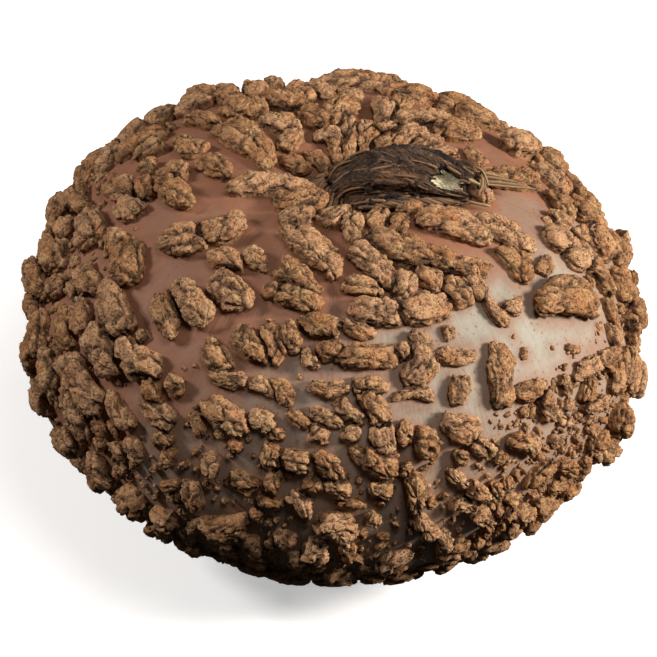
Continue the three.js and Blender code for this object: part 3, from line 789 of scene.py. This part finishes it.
def bark_mesh(look):
    """The stem's bark, with deep broken grain along it and a torn place that shows the wood."""
    around, rings = BARK_AROUND, BARK_RINGS
    turns = 2 * np.pi * np.arange(around) / around
    share, angle = np.meshgrid(np.linspace(0, 1, rings), turns, indexing="ij")
    share, angle = share.ravel(), angle.ravel()
    turned = angle + STEM_TWIST * share
    grain = np.stack([np.cos(turned), np.sin(turned), share], axis=1)
    share = share * (0.94 + 0.06 * soft_noise(grain * (5, 5, 0) + 9, 71))
    turn = (angle - SCOOP_SIDE + np.pi) % (2 * np.pi) - np.pi
    ragged = 0.3 * soft_noise(grain * (7, 7, 12), 76)
    reach = np.hypot((share - SCOOP_MIDDLE) / SCOOP_LONG, turn / SCOOP_HALF) + ragged
    scoop = 1 - smooth_step(reach, 0.55, 1.0)
    line_points = stem_surface(share, angle)
    middle = stem_surface(share, angle, share_of_radius=0.0)
    points = mix_values(line_points, middle, (SCOOP_DEPTH * scoop)[:, None])
    ends = [points[:around].mean(axis=0, keepdims=True), points[-around:].mean(axis=0, keepdims=True)]
    points = np.concatenate([ends[0], points, ends[1]])
    last = len(points) - 1
    faces = np.concatenate([
        fan_faces(0, 1, around),
        ring_faces(rings, around, 1),
        fan_faces(last, last - around, around, reverse=True),
    ])[:, ::-1]
    outward = corner_normals(points, faces)
    grain = np.concatenate([grain[:1], grain, grain[-1:]])
    scoop = np.concatenate([[0], scoop, [0]])
    share = np.concatenate([[0], share, [1]])
    wander = 0.12 * soft_noise(grain * (3, 3, 6), 75)[:, None]
    coarse = 1 - np.abs(soft_noise((grain + wander) * COARSE_GRAIN, 72))
    fine = 1 - np.abs(soft_noise((grain + wander) * FINE_GRAIN, 73))
    hair = soft_noise(grain * HAIR_GRAIN, 74)
    bark_shift = 1.1 * (coarse - 0.75) + 0.55 * (fine - 0.6) + 0.22 * hair
    shift = look.grain_depth / MM * mix_values(bark_shift, 0.35 * (fine - 0.6) + 0.2 * hair, scoop)
    points = points + outward * shift[:, None]
    # Where the grain is sunk; the bark material paints shade there.
    groove = np.clip(2 * (0.7 - coarse) + 1.0 * (0.5 - fine), 0, 1)
    return points, faces, {"grain": grain, "groove": groove, "along": share, "wood": scoop}


def bark_fibres(look):
    """Loose fibres that lie on the bark, along its grain."""
    draw = random_numbers(FIBRE_SEED)
    strands = []
    for _ in range(look.fibre_count):
        start, angle = 0.95 * next(draw), 2 * math.pi * next(draw)
        share = np.linspace(start, min(0.98, start + mix_values(0.05, 0.2, next(draw))), 5)
        drift = angle - STEM_TWIST * share + 0.5 * (next(draw) - 0.5) * np.linspace(0, 1, 5)
        strands.append((stem_surface(share, drift, 1.02), mix_values(0.35, 0.95, next(draw) ** 2), 0.7))
    return strands


def braided_fibres():
    """Fibres that wind round each other along the stem's lower edge."""
    strands = []
    for number in range(BRAID_FIBRES):
        share = np.linspace(0.18, 0.93, 12)
        phase = 2 * math.pi * number / BRAID_FIBRES
        wound = BRAID_TURNS * share + phase
        braid = -0.3 - 0.1 * share + 0.09 * np.cos(wound)
        strands.append((stem_surface(share, braid, 1.05 + 0.05 * np.sin(wound)[:, None]), 0.95, 0.8))
    return strands


def foot_fibres():
    """Ridges that run from the stem's foot over the floor of the hollow."""
    draw = random_numbers(FIBRE_SEED + 1)
    strands = []
    for number in range(FOOT_RIDGES):
        turn = math.radians(FOOT_START + FOOT_SPAN * number / FOOT_RIDGES + 8 * next(draw))
        towards = np.array([math.sin(turn), -math.cos(turn), 0])
        knots = []
        for out, up in ((9, 8), (12, 4.5), (15, 1.8), (17 + 4 * next(draw), 0.2)):
            ground = skin_points(*skin_places(STEM_FOOT + towards * out))
            knots.append(ground + (0, 0, up * mix_values(0.7, 1.2, next(draw))))
        strands.append((knots, mix_values(0.6, 1.3, next(draw)), 0.7))
    return strands


def strand_mesh(strands, around=6):
    """Thin fibres, each a tapered tube through its knots: (knots, half width, flatness)."""
    parts = []
    first = 0
    for number, (knots, half_width, flatness) in enumerate(strands):
        line = curve_points(knots, 4 * len(knots) + 2)
        share = np.linspace(0, 1, len(line))
        along = np.stack([share * 9, np.full(len(line), number * 3.7), np.zeros(len(line))], axis=1)
        noise = soft_noise(along, 81)
        taper = np.minimum(1, 0.25 + 6 * np.minimum(share, 1 - share)) * (1 + 0.18 * noise)
        points, faces = swept(line, (half_width * taper)[:, None], around, flatness, (0, 0, 1))
        parts.append((points, faces + first, np.full(len(points), hashed(number, 5, 9, 2))))
        first += len(points)
    points, faces, tone = (np.concatenate(rows) for rows in zip(*parts))
    return points, faces, {"tone": tone}


class Value:
    """A shader socket holding a number. Python's operators on it add Math nodes."""

    def __init__(self, paint, socket):
        self.paint = paint
        self.socket = socket

    def __add__(self, other):
        return self.paint.math("ADD", self, other)

    __radd__ = __add__

    def __sub__(self, other):
        return self.paint.math("SUBTRACT", self, other)

    def __rsub__(self, other):
        return self.paint.math("SUBTRACT", other, self)

    def __mul__(self, other):
        return self.paint.math("MULTIPLY", self, other)

    __rmul__ = __mul__

    def __pow__(self, other):
        return self.paint.math("POWER", self, other)


class Paint:
    """The node tree of one material."""

    def __init__(self, name):
        self.material = bpy.data.materials.new(name)
        self.material.use_nodes = True
        self.tree = self.material.node_tree
        self.tree.nodes.clear()

    def node(self, kind, settings=None, inputs=None, output=0):
        """Adds a node: its settings first, then the values or links of its inputs. Gives one output."""
        node = self.tree.nodes.new(kind)
        for key, setting in (settings or {}).items():
            setattr(node, key, setting)
        for key, value in (inputs or {}).items():
            if isinstance(value, Value):
                self.tree.links.new(value.socket, node.inputs[key])
            else:
                node.inputs[key].default_value = value
        return Value(self, node.outputs[output]) if node.outputs else None

    def math(self, operation, one, other=0.0, clamp=False):
        settings = {"operation": operation, "use_clamp": clamp}
        return self.node("ShaderNodeMath", settings, {0: one, 1: other})

    def clamp(self, value):
        return self.math("ADD", value, 0.0, clamp=True)

    def rise(self, value, low, high):
        """0 under low, 1 over high and smooth between."""
        settings = {"interpolation_type": "SMOOTHSTEP"}
        inputs = {"Value": value, "From Min": low, "From Max": high}
        return self.node("ShaderNodeMapRange", settings, inputs)

    def mix(self, share, one, other, blend="MIX"):
        settings = {"data_type": "RGBA", "blend_type": blend}
        return self.node("ShaderNodeMix", settings, {"Factor": share, 6: one, 7: other}, output=2)

    def attribute(self, name, output="Fac"):
        return self.node("ShaderNodeAttribute", {"attribute_name": name}, output=output)

    def place(self, *scale):
        """The object's own coordinates in metres, multiplied."""
        position = self.node("ShaderNodeTexCoord", output="Object")
        return self.stretch(position, *scale)

    def stretch(self, vector, *scale):
        factor = scale if len(scale) == 3 else scale * 3
        return self.node("ShaderNodeVectorMath", {"operation": "MULTIPLY"}, {0: vector, 1: factor})

    def noise(self, vector, scale=1.0, detail=3.0, roughness=0.55, distortion=0.0):
        inputs = {"Vector": vector, "Scale": scale, "Detail": detail, "Roughness": roughness,
                  "Distortion": distortion}
        return self.node("ShaderNodeTexNoise", None, inputs, output="Fac")

    def cells(self, vector, scale=1.0, feature="F1", randomness=1.0):
        inputs = {"Vector": vector, "Scale": scale, "Randomness": randomness}
        return self.node("ShaderNodeTexVoronoi", {"feature": feature}, inputs, output="Distance")

    def finish(self, colour, roughness, height=None, depth=0.0, strength=1.0, **uniform):
        """Ends the material in one Principled shader with its bump. Uniform values stay on the socket."""
        inputs = {"Base Color": colour, "Roughness": roughness, **uniform}
        if height is not None:
            bump = {"Height": height, "Distance": depth, "Strength": strength}
            inputs["Normal"] = self.node("ShaderNodeBump", None, bump)
        shader = self.node("ShaderNodeBsdfPrincipled", None, inputs)
        self.node("ShaderNodeOutputMaterial", None, {"Surface": shader})
        return self.material


def opaque(colour):
    return (*colour, 1.0)


def rind_material(look):
    paint = Paint("satin_rind")
    halo = paint.attribute("halo")
    cream = paint.attribute("cream")
    meridian = paint.attribute("meridian", "Vector")
    blotch = paint.noise(paint.place(1), 16, 4)
    streak = paint.noise(paint.stretch(meridian, 70, 70, 7), 1, 3, 0.6)
    hair = paint.noise(paint.stretch(meridian, 190, 190, 16), 1, 2, 0.6)
    cream = paint.clamp(cream + (blotch - 0.5) * 0.5 - halo * 0.2)
    base = paint.mix(cream, opaque(look.pink), opaque(look.cream))
    tint = paint.rise(paint.noise(paint.place(1), 34, 3), 0.42, 0.66)
    base = paint.mix(tint * 0.3, base, opaque(look.blush))
    dark = paint.rise(streak, 0.52, 0.72) * 0.34 + paint.rise(hair, 0.55, 0.75) * 0.26
    base = paint.mix(dark * (1 - cream * 0.6), base, opaque(look.streak))
    base = paint.mix(halo**2 * 0.45, base, opaque(look.halo))
    spots = paint.rise(1 - paint.cells(paint.place(1), 300), 0.72, 0.86)
    patchy = paint.rise(paint.noise(paint.place(1), 60, 2), 0.42, 0.6)
    base = paint.mix(spots * paint.clamp(patchy + halo * 0.6) * 0.8, base, opaque(look.freckle))
    pores = paint.rise(1 - paint.cells(paint.place(1), 520), 0.80, 0.92)
    base = paint.mix(pores * patchy * 0.4, base, opaque(look.streak))
    rough = look.rind_roughness + (blotch - 0.5) * 0.22 + halo * 0.12
    fine = paint.noise(paint.place(1), 620, 2)
    mottle = paint.rise(paint.noise(paint.place(1), 260, 4, 0.65), 0.46, 0.66)
    base = paint.mix(mottle * (0.22 - cream * 0.1), base, opaque(look.streak))
    height = hair * 0.5 + streak * 0.6 + fine * 0.25 - pores * 0.5
    return paint.finish(base, rough, height, 0.0006, 0.5, **{"Specular IOR Level": 0.32})


def cork_material(look):
    paint = Paint("wrinkled_cork")
    crack = paint.attribute("crack")
    raised = paint.attribute("raised")
    tone = paint.attribute("tone")
    place = paint.place(1)
    broad = paint.noise(place, 28, 3)
    patch = paint.noise(place, 120, 4, 0.65)
    grit = paint.noise(place, 800, 3, 0.7)
    pits = paint.rise(1 - paint.cells(place, 460), 0.62, 0.85)
    worm = paint.math("ABSOLUTE", paint.noise(place, 300, 2, 0.5, 1.3) - 0.5)
    worm = 1 - paint.rise(worm, 0.003, 0.03)
    redder = paint.rise(broad + (tone - 0.5) * 0.5, 0.3, 0.7)
    base = paint.mix(redder, opaque(look.tan), opaque(look.russet))
    base = paint.mix(paint.rise(patch, 0.44, 0.7) * 0.6, base, opaque(look.straw))
    base = paint.mix(paint.rise(paint.noise(place, 90, 3), 0.52, 0.68) * 0.45, base, opaque(look.rust))
    base = paint.mix(paint.rise(grit, 0.46, 0.68) * 0.32, base, opaque(look.brown))
    # Partly a real reddish rim and partly painted shade under the overhang: the cork turns darker and redder
    # towards a wart's foot.
    base = paint.mix(paint.rise(0.3 - raised, 0, 0.3) * 0.5, base, opaque(look.foot))
    # Painted shade: the crease mask, the worm lines and the pits darken the cork towards its near-black
    # crease colour.
    dark = paint.clamp(crack * 0.95 + worm * 0.48 + pits * 0.18)
    base = paint.mix(dark, base, opaque(look.crack))
    height = grit * 0.35 + patch * 0.5 - worm * 0.55 - pits * 0.5
    return paint.finish(base, 0.86, height, 0.0011, 0.9, **{"Specular IOR Level": 0.25})


def bark_material(look):
    paint = Paint("dried_bark")
    grain = paint.attribute("grain", "Vector")
    groove = paint.attribute("groove")
    along = paint.attribute("along")
    streak = paint.noise(paint.stretch(grain, 16, 16, 16), 1, 4, 0.6)
    hair = paint.noise(paint.stretch(grain, 40, 40, 32), 1, 3, 0.6)
    patch = paint.noise(paint.place(1), 60, 3)
    base = paint.mix(paint.rise(streak, 0.4, 0.66), opaque(look.bark), opaque(look.bark_light))
    base = paint.mix(paint.rise(patch, 0.5, 0.7) * 0.5, base, opaque(look.bark_warm))
    base = paint.mix(paint.rise(hair, 0.55, 0.75) * 0.5, base, opaque(look.bark_light))
    base = paint.mix(paint.rise(along, 0.6, 0.95) * 0.5, base, opaque(look.bark))
    crinkle = paint.noise(paint.stretch(grain, 22, 22, 64), 1, 4, 0.7, 0.8)
    base = paint.mix(paint.rise(1 - crinkle, 0.46, 0.6) * 0.75, base, opaque(look.bark_dark))
    base = paint.mix(paint.rise(crinkle, 0.56, 0.7) * 0.5, base, opaque(look.fleck))
    # Painted shade: the bark's sunk grooves turn near-black.
    base = paint.mix(paint.clamp(groove * 1.1), base, opaque(look.bark_dark))
    wood = paint.attribute("wood")
    splinter = paint.mix(paint.rise(hair, 0.5, 0.72) * 0.6, opaque(look.wood), opaque(look.wood_dark))
    base = paint.mix(paint.rise(wood, 0.25, 0.5), base, opaque(look.bark_dark))
    base = paint.mix(paint.rise(wood, 0.66, 0.84), base, splinter)
    height = streak * 0.5 + hair * 0.4 + crinkle * 0.9
    return paint.finish(base, 0.8, height, 0.0014, 1.0, **{"Specular IOR Level": 0.3})


def fibre_material(name, dark, light):
    paint = Paint(name)
    tone = paint.attribute("tone")
    grit = paint.noise(paint.place(1), 260, 3)
    base = paint.mix(paint.clamp(tone * 0.7 + grit * 0.5 - 0.1), opaque(dark), opaque(light))
    return paint.finish(base, 0.75, grit, 0.0004, 0.7)


def colour_property(label, about, value):
    return bpy.props.FloatVectorProperty(
        name=label, description=about, default=value, size=3, min=0, max=1, subtype="COLOR")


def length_property(label, about, value):
    return bpy.props.FloatProperty(name=label, description=about, default=value, min=0, unit="LENGTH")


def count_property(label, about, value):
    return bpy.props.IntProperty(name=label, description=about, default=value, min=1)


def factor_property(label, about, value):
    return bpy.props.FloatProperty(name=label, description=about, default=value, min=0)


class RindLook(bpy.types.PropertyGroup):
    columns: count_property("Meridians", "Lines of points round the skin", 330)
    rows: count_property("Parallels", "Lines of points from top to bottom", 146)
    halo_width: length_property("Halo", "Width of the stained skin round a wart", 0.006)
    swell: length_property("Swell", "How far the skin swells at a wart's foot", 0.0009)
    cream_side: bpy.props.FloatVectorProperty(
        name="Cream side", description="Direction of the pale side", default=(0.45, -0.60, -0.66), size=3)
    rind_roughness: factor_property("Roughness", "Of the bare skin", 0.56)
    pink: colour_property("Pink", "Most of the skin", (0.235, 0.106, 0.06))
    cream: colour_property("Cream", "The pale side", (0.295, 0.272, 0.212))
    blush: colour_property("Blush", "Faint blotches", (0.26, 0.118, 0.07))
    streak: colour_property("Streaks", "Fine dark lines from stem to base", (0.17, 0.07, 0.04))
    halo: colour_property("Stain", "Skin round the warts", (0.25, 0.1, 0.05))
    freckle: colour_property("Freckles", "Small raised spots", (0.24, 0.1, 0.04))


class CorkLook(bpy.types.PropertyGroup):
    mesh_step: length_property("Step", "Between points of a wart's surface", 0.00112)
    back_step: length_property("Back step", "The same on the back and underneath", 0.0019)
    lobe_depth: factor_property("Lobes", "Depth of the lobes", 1.0)
    wrinkle_depth: factor_property("Wrinkles", "Depth of the wrinkles", 1.0)
    tan: colour_property("Tan", "Most of the cork", (0.46, 0.25, 0.128))
    russet: colour_property("Russet", "Redder warts", (0.345, 0.165, 0.068))
    straw: colour_property("Straw", "Dry, pale patches", (0.62, 0.385, 0.185))
    rust: colour_property("Rust", "Orange-brown patches", (0.44, 0.17, 0.055))
    brown: colour_property("Brown", "Grit", (0.19, 0.09, 0.04))
    # Darker, redder cork at a wart's foot: partly its real reddish rim, partly painted shade under the
    # overhang
    foot: colour_property("Foot", "Where a wart meets the skin", (0.27, 0.115, 0.05))
    # Near-black colour of the shade painted into the cork's creases, seams and pits
    crack: colour_property("Crease shade", "Creases and pits", (0.05, 0.024, 0.012))


class StalkLook(bpy.types.PropertyGroup):
    grain_depth: length_property("Grain", "Depth of the bark's grain", 0.0022)
    fibre_count: count_property("Fibres", "Loose fibres on the bark", 130)
    bark: colour_property("Bark", "Most of the stem", (0.068, 0.037, 0.023))
    bark_light: colour_property("Light bark", "Raised fibres", (0.155, 0.09, 0.05))
    bark_warm: colour_property("Warm bark", "Orange-brown patches", (0.23, 0.095, 0.035))
    fleck: colour_property("Flecks", "Fibres on the bark", (0.26, 0.135, 0.055))
    # Near-black: real dark flecks and the rim of the torn place, and painted shade in the bark's grooves
    bark_dark: colour_property("Dark bark", "Grooves", (0.014, 0.008, 0.006))
    wood_dark: colour_property("Wood rim", "Rim of the torn wood", (0.10, 0.075, 0.03))
    wood: colour_property("Wood", "The torn wood inside", (0.92, 0.8, 0.52))
    strand_dark: colour_property("Dark fibre", "Weathered fibres", (0.14, 0.08, 0.04))
    strand: colour_property("Fibre", "Dry straw-coloured fibres", (0.46, 0.31, 0.15))


class StudioLook(bpy.types.PropertyGroup):
    distance: length_property("Distance", "From the camera to the fruit", 1.32)
    lens: factor_property("Lens", "Focal length in millimetres", 149.6)
    elevation: bpy.props.FloatProperty(
        name="Elevation", description="Of the camera", default=math.radians(38), subtype="ANGLE")
    target: bpy.props.FloatVectorProperty(
        name="Target", description="What the camera looks at", default=(-0.01034, -0.00088, 0.0906),
        size=3, subtype="TRANSLATION")
    key_power: factor_property("Key", "Watts of the right-hand light", 32.5)
    side_power: factor_property("Side", "Watts of the left-hand light", 14.5)
    top_power: factor_property("Top", "Watts of the light above", 8.5)
    air: factor_property("Air", "Strength of the light all round", 0.03)


class SQUASH_OT_rind(bpy.types.Operator):
    """Makes the bare skin"""

    bl_idname = "squash.rind"
    bl_label = "Rind"

    def execute(self, context):
        look = context.scene.squash_rind
        points, faces, values = rind_mesh(full_field(), look)
        stand_for(new_piece("rind", points, faces, values, rind_material(look)), "rind", "fruit")
        return {"FINISHED"}


class SQUASH_OT_warts(bpy.types.Operator):
    """Makes the cork warts, in a piece for each part of the fruit"""

    bl_idname = "squash.warts"
    bl_label = "Warts"

    def execute(self, context):
        look = context.scene.squash_cork
        material = cork_material(look)
        field = full_field()
        groups = {name: [] for name in ("crown", *(name for name, _ in SECTORS))}
        for number, wart in enumerate(field.warts):
            groups[sector_of(wart)].append(number)
        for count, (name, numbers) in enumerate(groups.items()):
            points, faces, values = wart_mesh(numbers, field, look, random_numbers(WART_SEED + count))
            stand_for(new_piece(f"warts_{name}", points, faces, values, material), "cork", "fruit")
        return {"FINISHED"}


# Splinters and straw beyond the stem's torn end, from the stem's foot in millimetres
STRANDS = [
    ([(54, -9, 15), (61, -9, 15), (68, -8, 13.5), (76, -6, 11), (86, -5, 8.6)], 0.8, 0.5),
    ([(54, -10, 14), (61, -10, 14), (69, -9, 12.5), (77, -7.5, 10.5), (89, -6, 8.2)], 0.6, 0.6),
    ([(54, -6, 16), (60, -6, 15.5), (66, -5.5, 14.5), (73, -4.5, 12.5), (80, -3.5, 10.3)], 0.7, 0.6),
    ([(52, -5, 17), (59, -4, 16.5), (66, -3.5, 15), (74, -2.5, 12.3)], 0.6, 0.6),
    ([(54, -7, 15.5), (62, -6, 15), (70, -5, 13)], 0.6, 0.6),
    ([(43, -9, 20), (50, -12, 20), (57, -14, 18.5), (62, -15, 17)], 1.3, 0.5),
    ([(45, -6, 20), (52, -9, 20), (59, -12, 18)], 0.6, 0.6),
    ([(60, -2, 18), (63, -5, 18), (65, -9, 16.5), (66, -12, 14)], 0.7, 0.6),
    ([(55, -18, 10), (60, -20, 10), (67, -21, 9)], 0.8, 0.6),
    ([(46, -17, 9), (54, -19, 9), (60, -19, 10)], 0.7, 0.6),
]

# The ragged brown lip at the torn end
LIP = [
    ([(60, -3, 14.5), (62.5, -6, 16), (63.5, -10, 15.5), (62.5, -14, 12)], 1.2, 0.8),
    ([(62, -2, 14.5), (64, -5, 16), (65, -9, 15), (64.5, -13, 12)], 1.1, 0.8),
    ([(61, -6, 16), (63, -9, 16.6), (63, -13, 14.5), (61, -16, 12)], 1.1, 0.8),
    ([(63.5, -4, 15.5), (63, -8, 16.8), (64.5, -11, 15), (63, -15, 12.5)], 0.9, 0.8),
    ([(60.5, -9, 16.2), (62, -11, 16.4), (61.5, -14, 14.5)], 1.0, 0.8),
]


def from_stem_foot(strands):
    return [([np.array(knot) + STEM_FOOT for knot in knots], half, flat) for knots, half, flat in strands]


@functools.cache
def full_field():
    field = strewn_warts()
    add_crumbs(field)
    return field


class SQUASH_OT_stem(bpy.types.Operator):
    """Makes the dried stem with its torn end and loose fibres"""

    bl_idname = "squash.stem"
    bl_label = "Stem"

    def execute(self, context):
        look = context.scene.squash_stalk
        points, faces, values = bark_mesh(look)
        stand_for(new_piece("stem_bark", points, faces, values, bark_material(look)), "stalk", "stem")
        fibres = bark_fibres(look) + foot_fibres() + braided_fibres() + from_stem_foot(LIP)
        points, faces, values = strand_mesh(fibres)
        brown = fibre_material("bark_fibre", look.bark, look.fleck)
        stand_for(new_piece("stem_ridges", points, faces, values, brown), "stalk", "stem")
        points, faces, values = strand_mesh(from_stem_foot(STRANDS))
        fibre = fibre_material("straw_fibre", look.strand_dark, look.strand)
        stand_for(new_piece("stem_fibres", points, faces, values, fibre), "stalk", "stem")
        return {"FINISHED"}


# Each light's size in metres, azimuth and elevation in degrees, distance in metres and colour
LIGHTS = {
    "key": (0.3, 77, 25, 1.4, (1.0, 0.95, 0.89)),
    "side": (0.3, -90, 36, 1.5, (1.0, 0.96, 0.93)),
    "top": (0.45, 24, 62, 1.5, (0.98, 0.97, 0.97)),
}
AIR_COLOUR = (1, 0.98, 0.96, 1)
SENSOR_WIDTH = 36
FLOOR_HALF = 6.0
FLOOR_DROP = 0.0005
FLOOR_COLOUR = (0.86, 0.85, 0.84, 1)
FLOOR_ROUGHNESS = 0.9
FLOOR_GLOW = 0.45


def area_light(name, power, size, azimuth, elevation, distance, colour):
    """A square light that shines on the fruit from an azimuth and elevation in degrees."""
    turn, tilt = math.radians(azimuth), math.radians(elevation)
    towards = Vector((math.sin(turn) * math.cos(tilt), -math.cos(turn) * math.cos(tilt), math.sin(tilt)))
    lamp = bpy.data.lights.new(name, "AREA")
    lamp.energy = power
    lamp.size = size
    lamp.color = colour
    light = bpy.data.objects.new(name, lamp)
    bpy.context.scene.collection.objects.link(light)
    light.location = Vector(CENTRE * MM) + towards * distance
    light.rotation_euler = towards.to_track_quat("Z", "Y").to_euler()
    return light


class SQUASH_OT_studio(bpy.types.Operator):
    """Makes the floor, the lights and the camera"""

    bl_idname = "squash.studio"
    bl_label = "Studio"

    def execute(self, context):
        look = context.scene.squash_studio
        scene = context.scene
        scene.view_settings.view_transform = "Standard"
        self.make_floor()
        for name, placing in LIGHTS.items():
            area_light(name, getattr(look, f"{name}_power"), *placing)
        world = bpy.data.worlds.new("air")
        world.use_nodes = True
        inputs = world.node_tree.nodes["Background"].inputs
        inputs["Color"].default_value = AIR_COLOUR
        inputs["Strength"].default_value = look.air
        scene.world = world
        camera = bpy.data.objects.new("camera", bpy.data.cameras.new("camera"))
        scene.collection.objects.link(camera)
        camera.data.lens = look.lens
        camera.data.sensor_width = SENSOR_WIDTH
        back = Vector((0, -math.cos(look.elevation), math.sin(look.elevation)))
        camera.location = Vector(look.target) + back * look.distance
        camera.rotation_euler = back.to_track_quat("Z", "Y").to_euler()
        scene.camera = camera
        return {"FINISHED"}

    def make_floor(self):
        mesh = bpy.data.meshes.new("floor")
        corners = [(x * FLOOR_HALF, y * FLOOR_HALF, 0) for x, y in ((-1, -1), (1, -1), (1, 1), (-1, 1))]
        mesh.from_pydata(corners, [], [(0, 1, 2, 3)])
        paint = Paint("pale_floor")
        glow = {"Emission Color": (1, 1, 1, 1), "Emission Strength": FLOOR_GLOW}
        mesh.materials.append(paint.finish(FLOOR_COLOUR, FLOOR_ROUGHNESS, **glow))
        floor = bpy.data.objects.new("floor", mesh)
        bpy.context.scene.collection.objects.link(floor)
        floor.location.z = -FLOOR_DROP
        floor.visible_diffuse = False
        floor.visible_glossy = False


class SQUASH_PT_panel(bpy.types.Panel):
    """Lists the squash's pieces"""

    bl_idname = "SQUASH_PT_panel"
    bl_label = "Winter squash"
    bl_space_type = "VIEW_3D"
    bl_region_type = "UI"
    bl_category = "Squash"

    def draw(self, context):
        for name, operator in STEPS:
            group = getattr(context.scene, f"squash_{name}")
            box = self.layout.box()
            box.operator(f"squash.{operator}")
            for key in group.__annotations__:
                box.prop(group, key)


LOOKS = {"rind": RindLook, "cork": CorkLook, "stalk": StalkLook, "studio": StudioLook}
STEPS = [("rind", "rind"), ("cork", "warts"), ("stalk", "stem"), ("studio", "studio")]
CLASSES = (
    *LOOKS.values(), SQUASH_OT_rind, SQUASH_OT_warts, SQUASH_OT_stem, SQUASH_OT_studio, SQUASH_PT_panel,
)


def register():
    for kind in CLASSES:
        bpy.utils.register_class(kind)
    for name, kind in LOOKS.items():
        setattr(bpy.types.Scene, f"squash_{name}", bpy.props.PointerProperty(type=kind))


def unregister():
    for name in LOOKS:
        delattr(bpy.types.Scene, f"squash_{name}")
    for kind in reversed(CLASSES):
        bpy.utils.unregister_class(kind)


def main():
    register()
    for _, operator in STEPS:
        getattr(bpy.ops.squash, operator)()


if __name__ == "__main__":
    main()
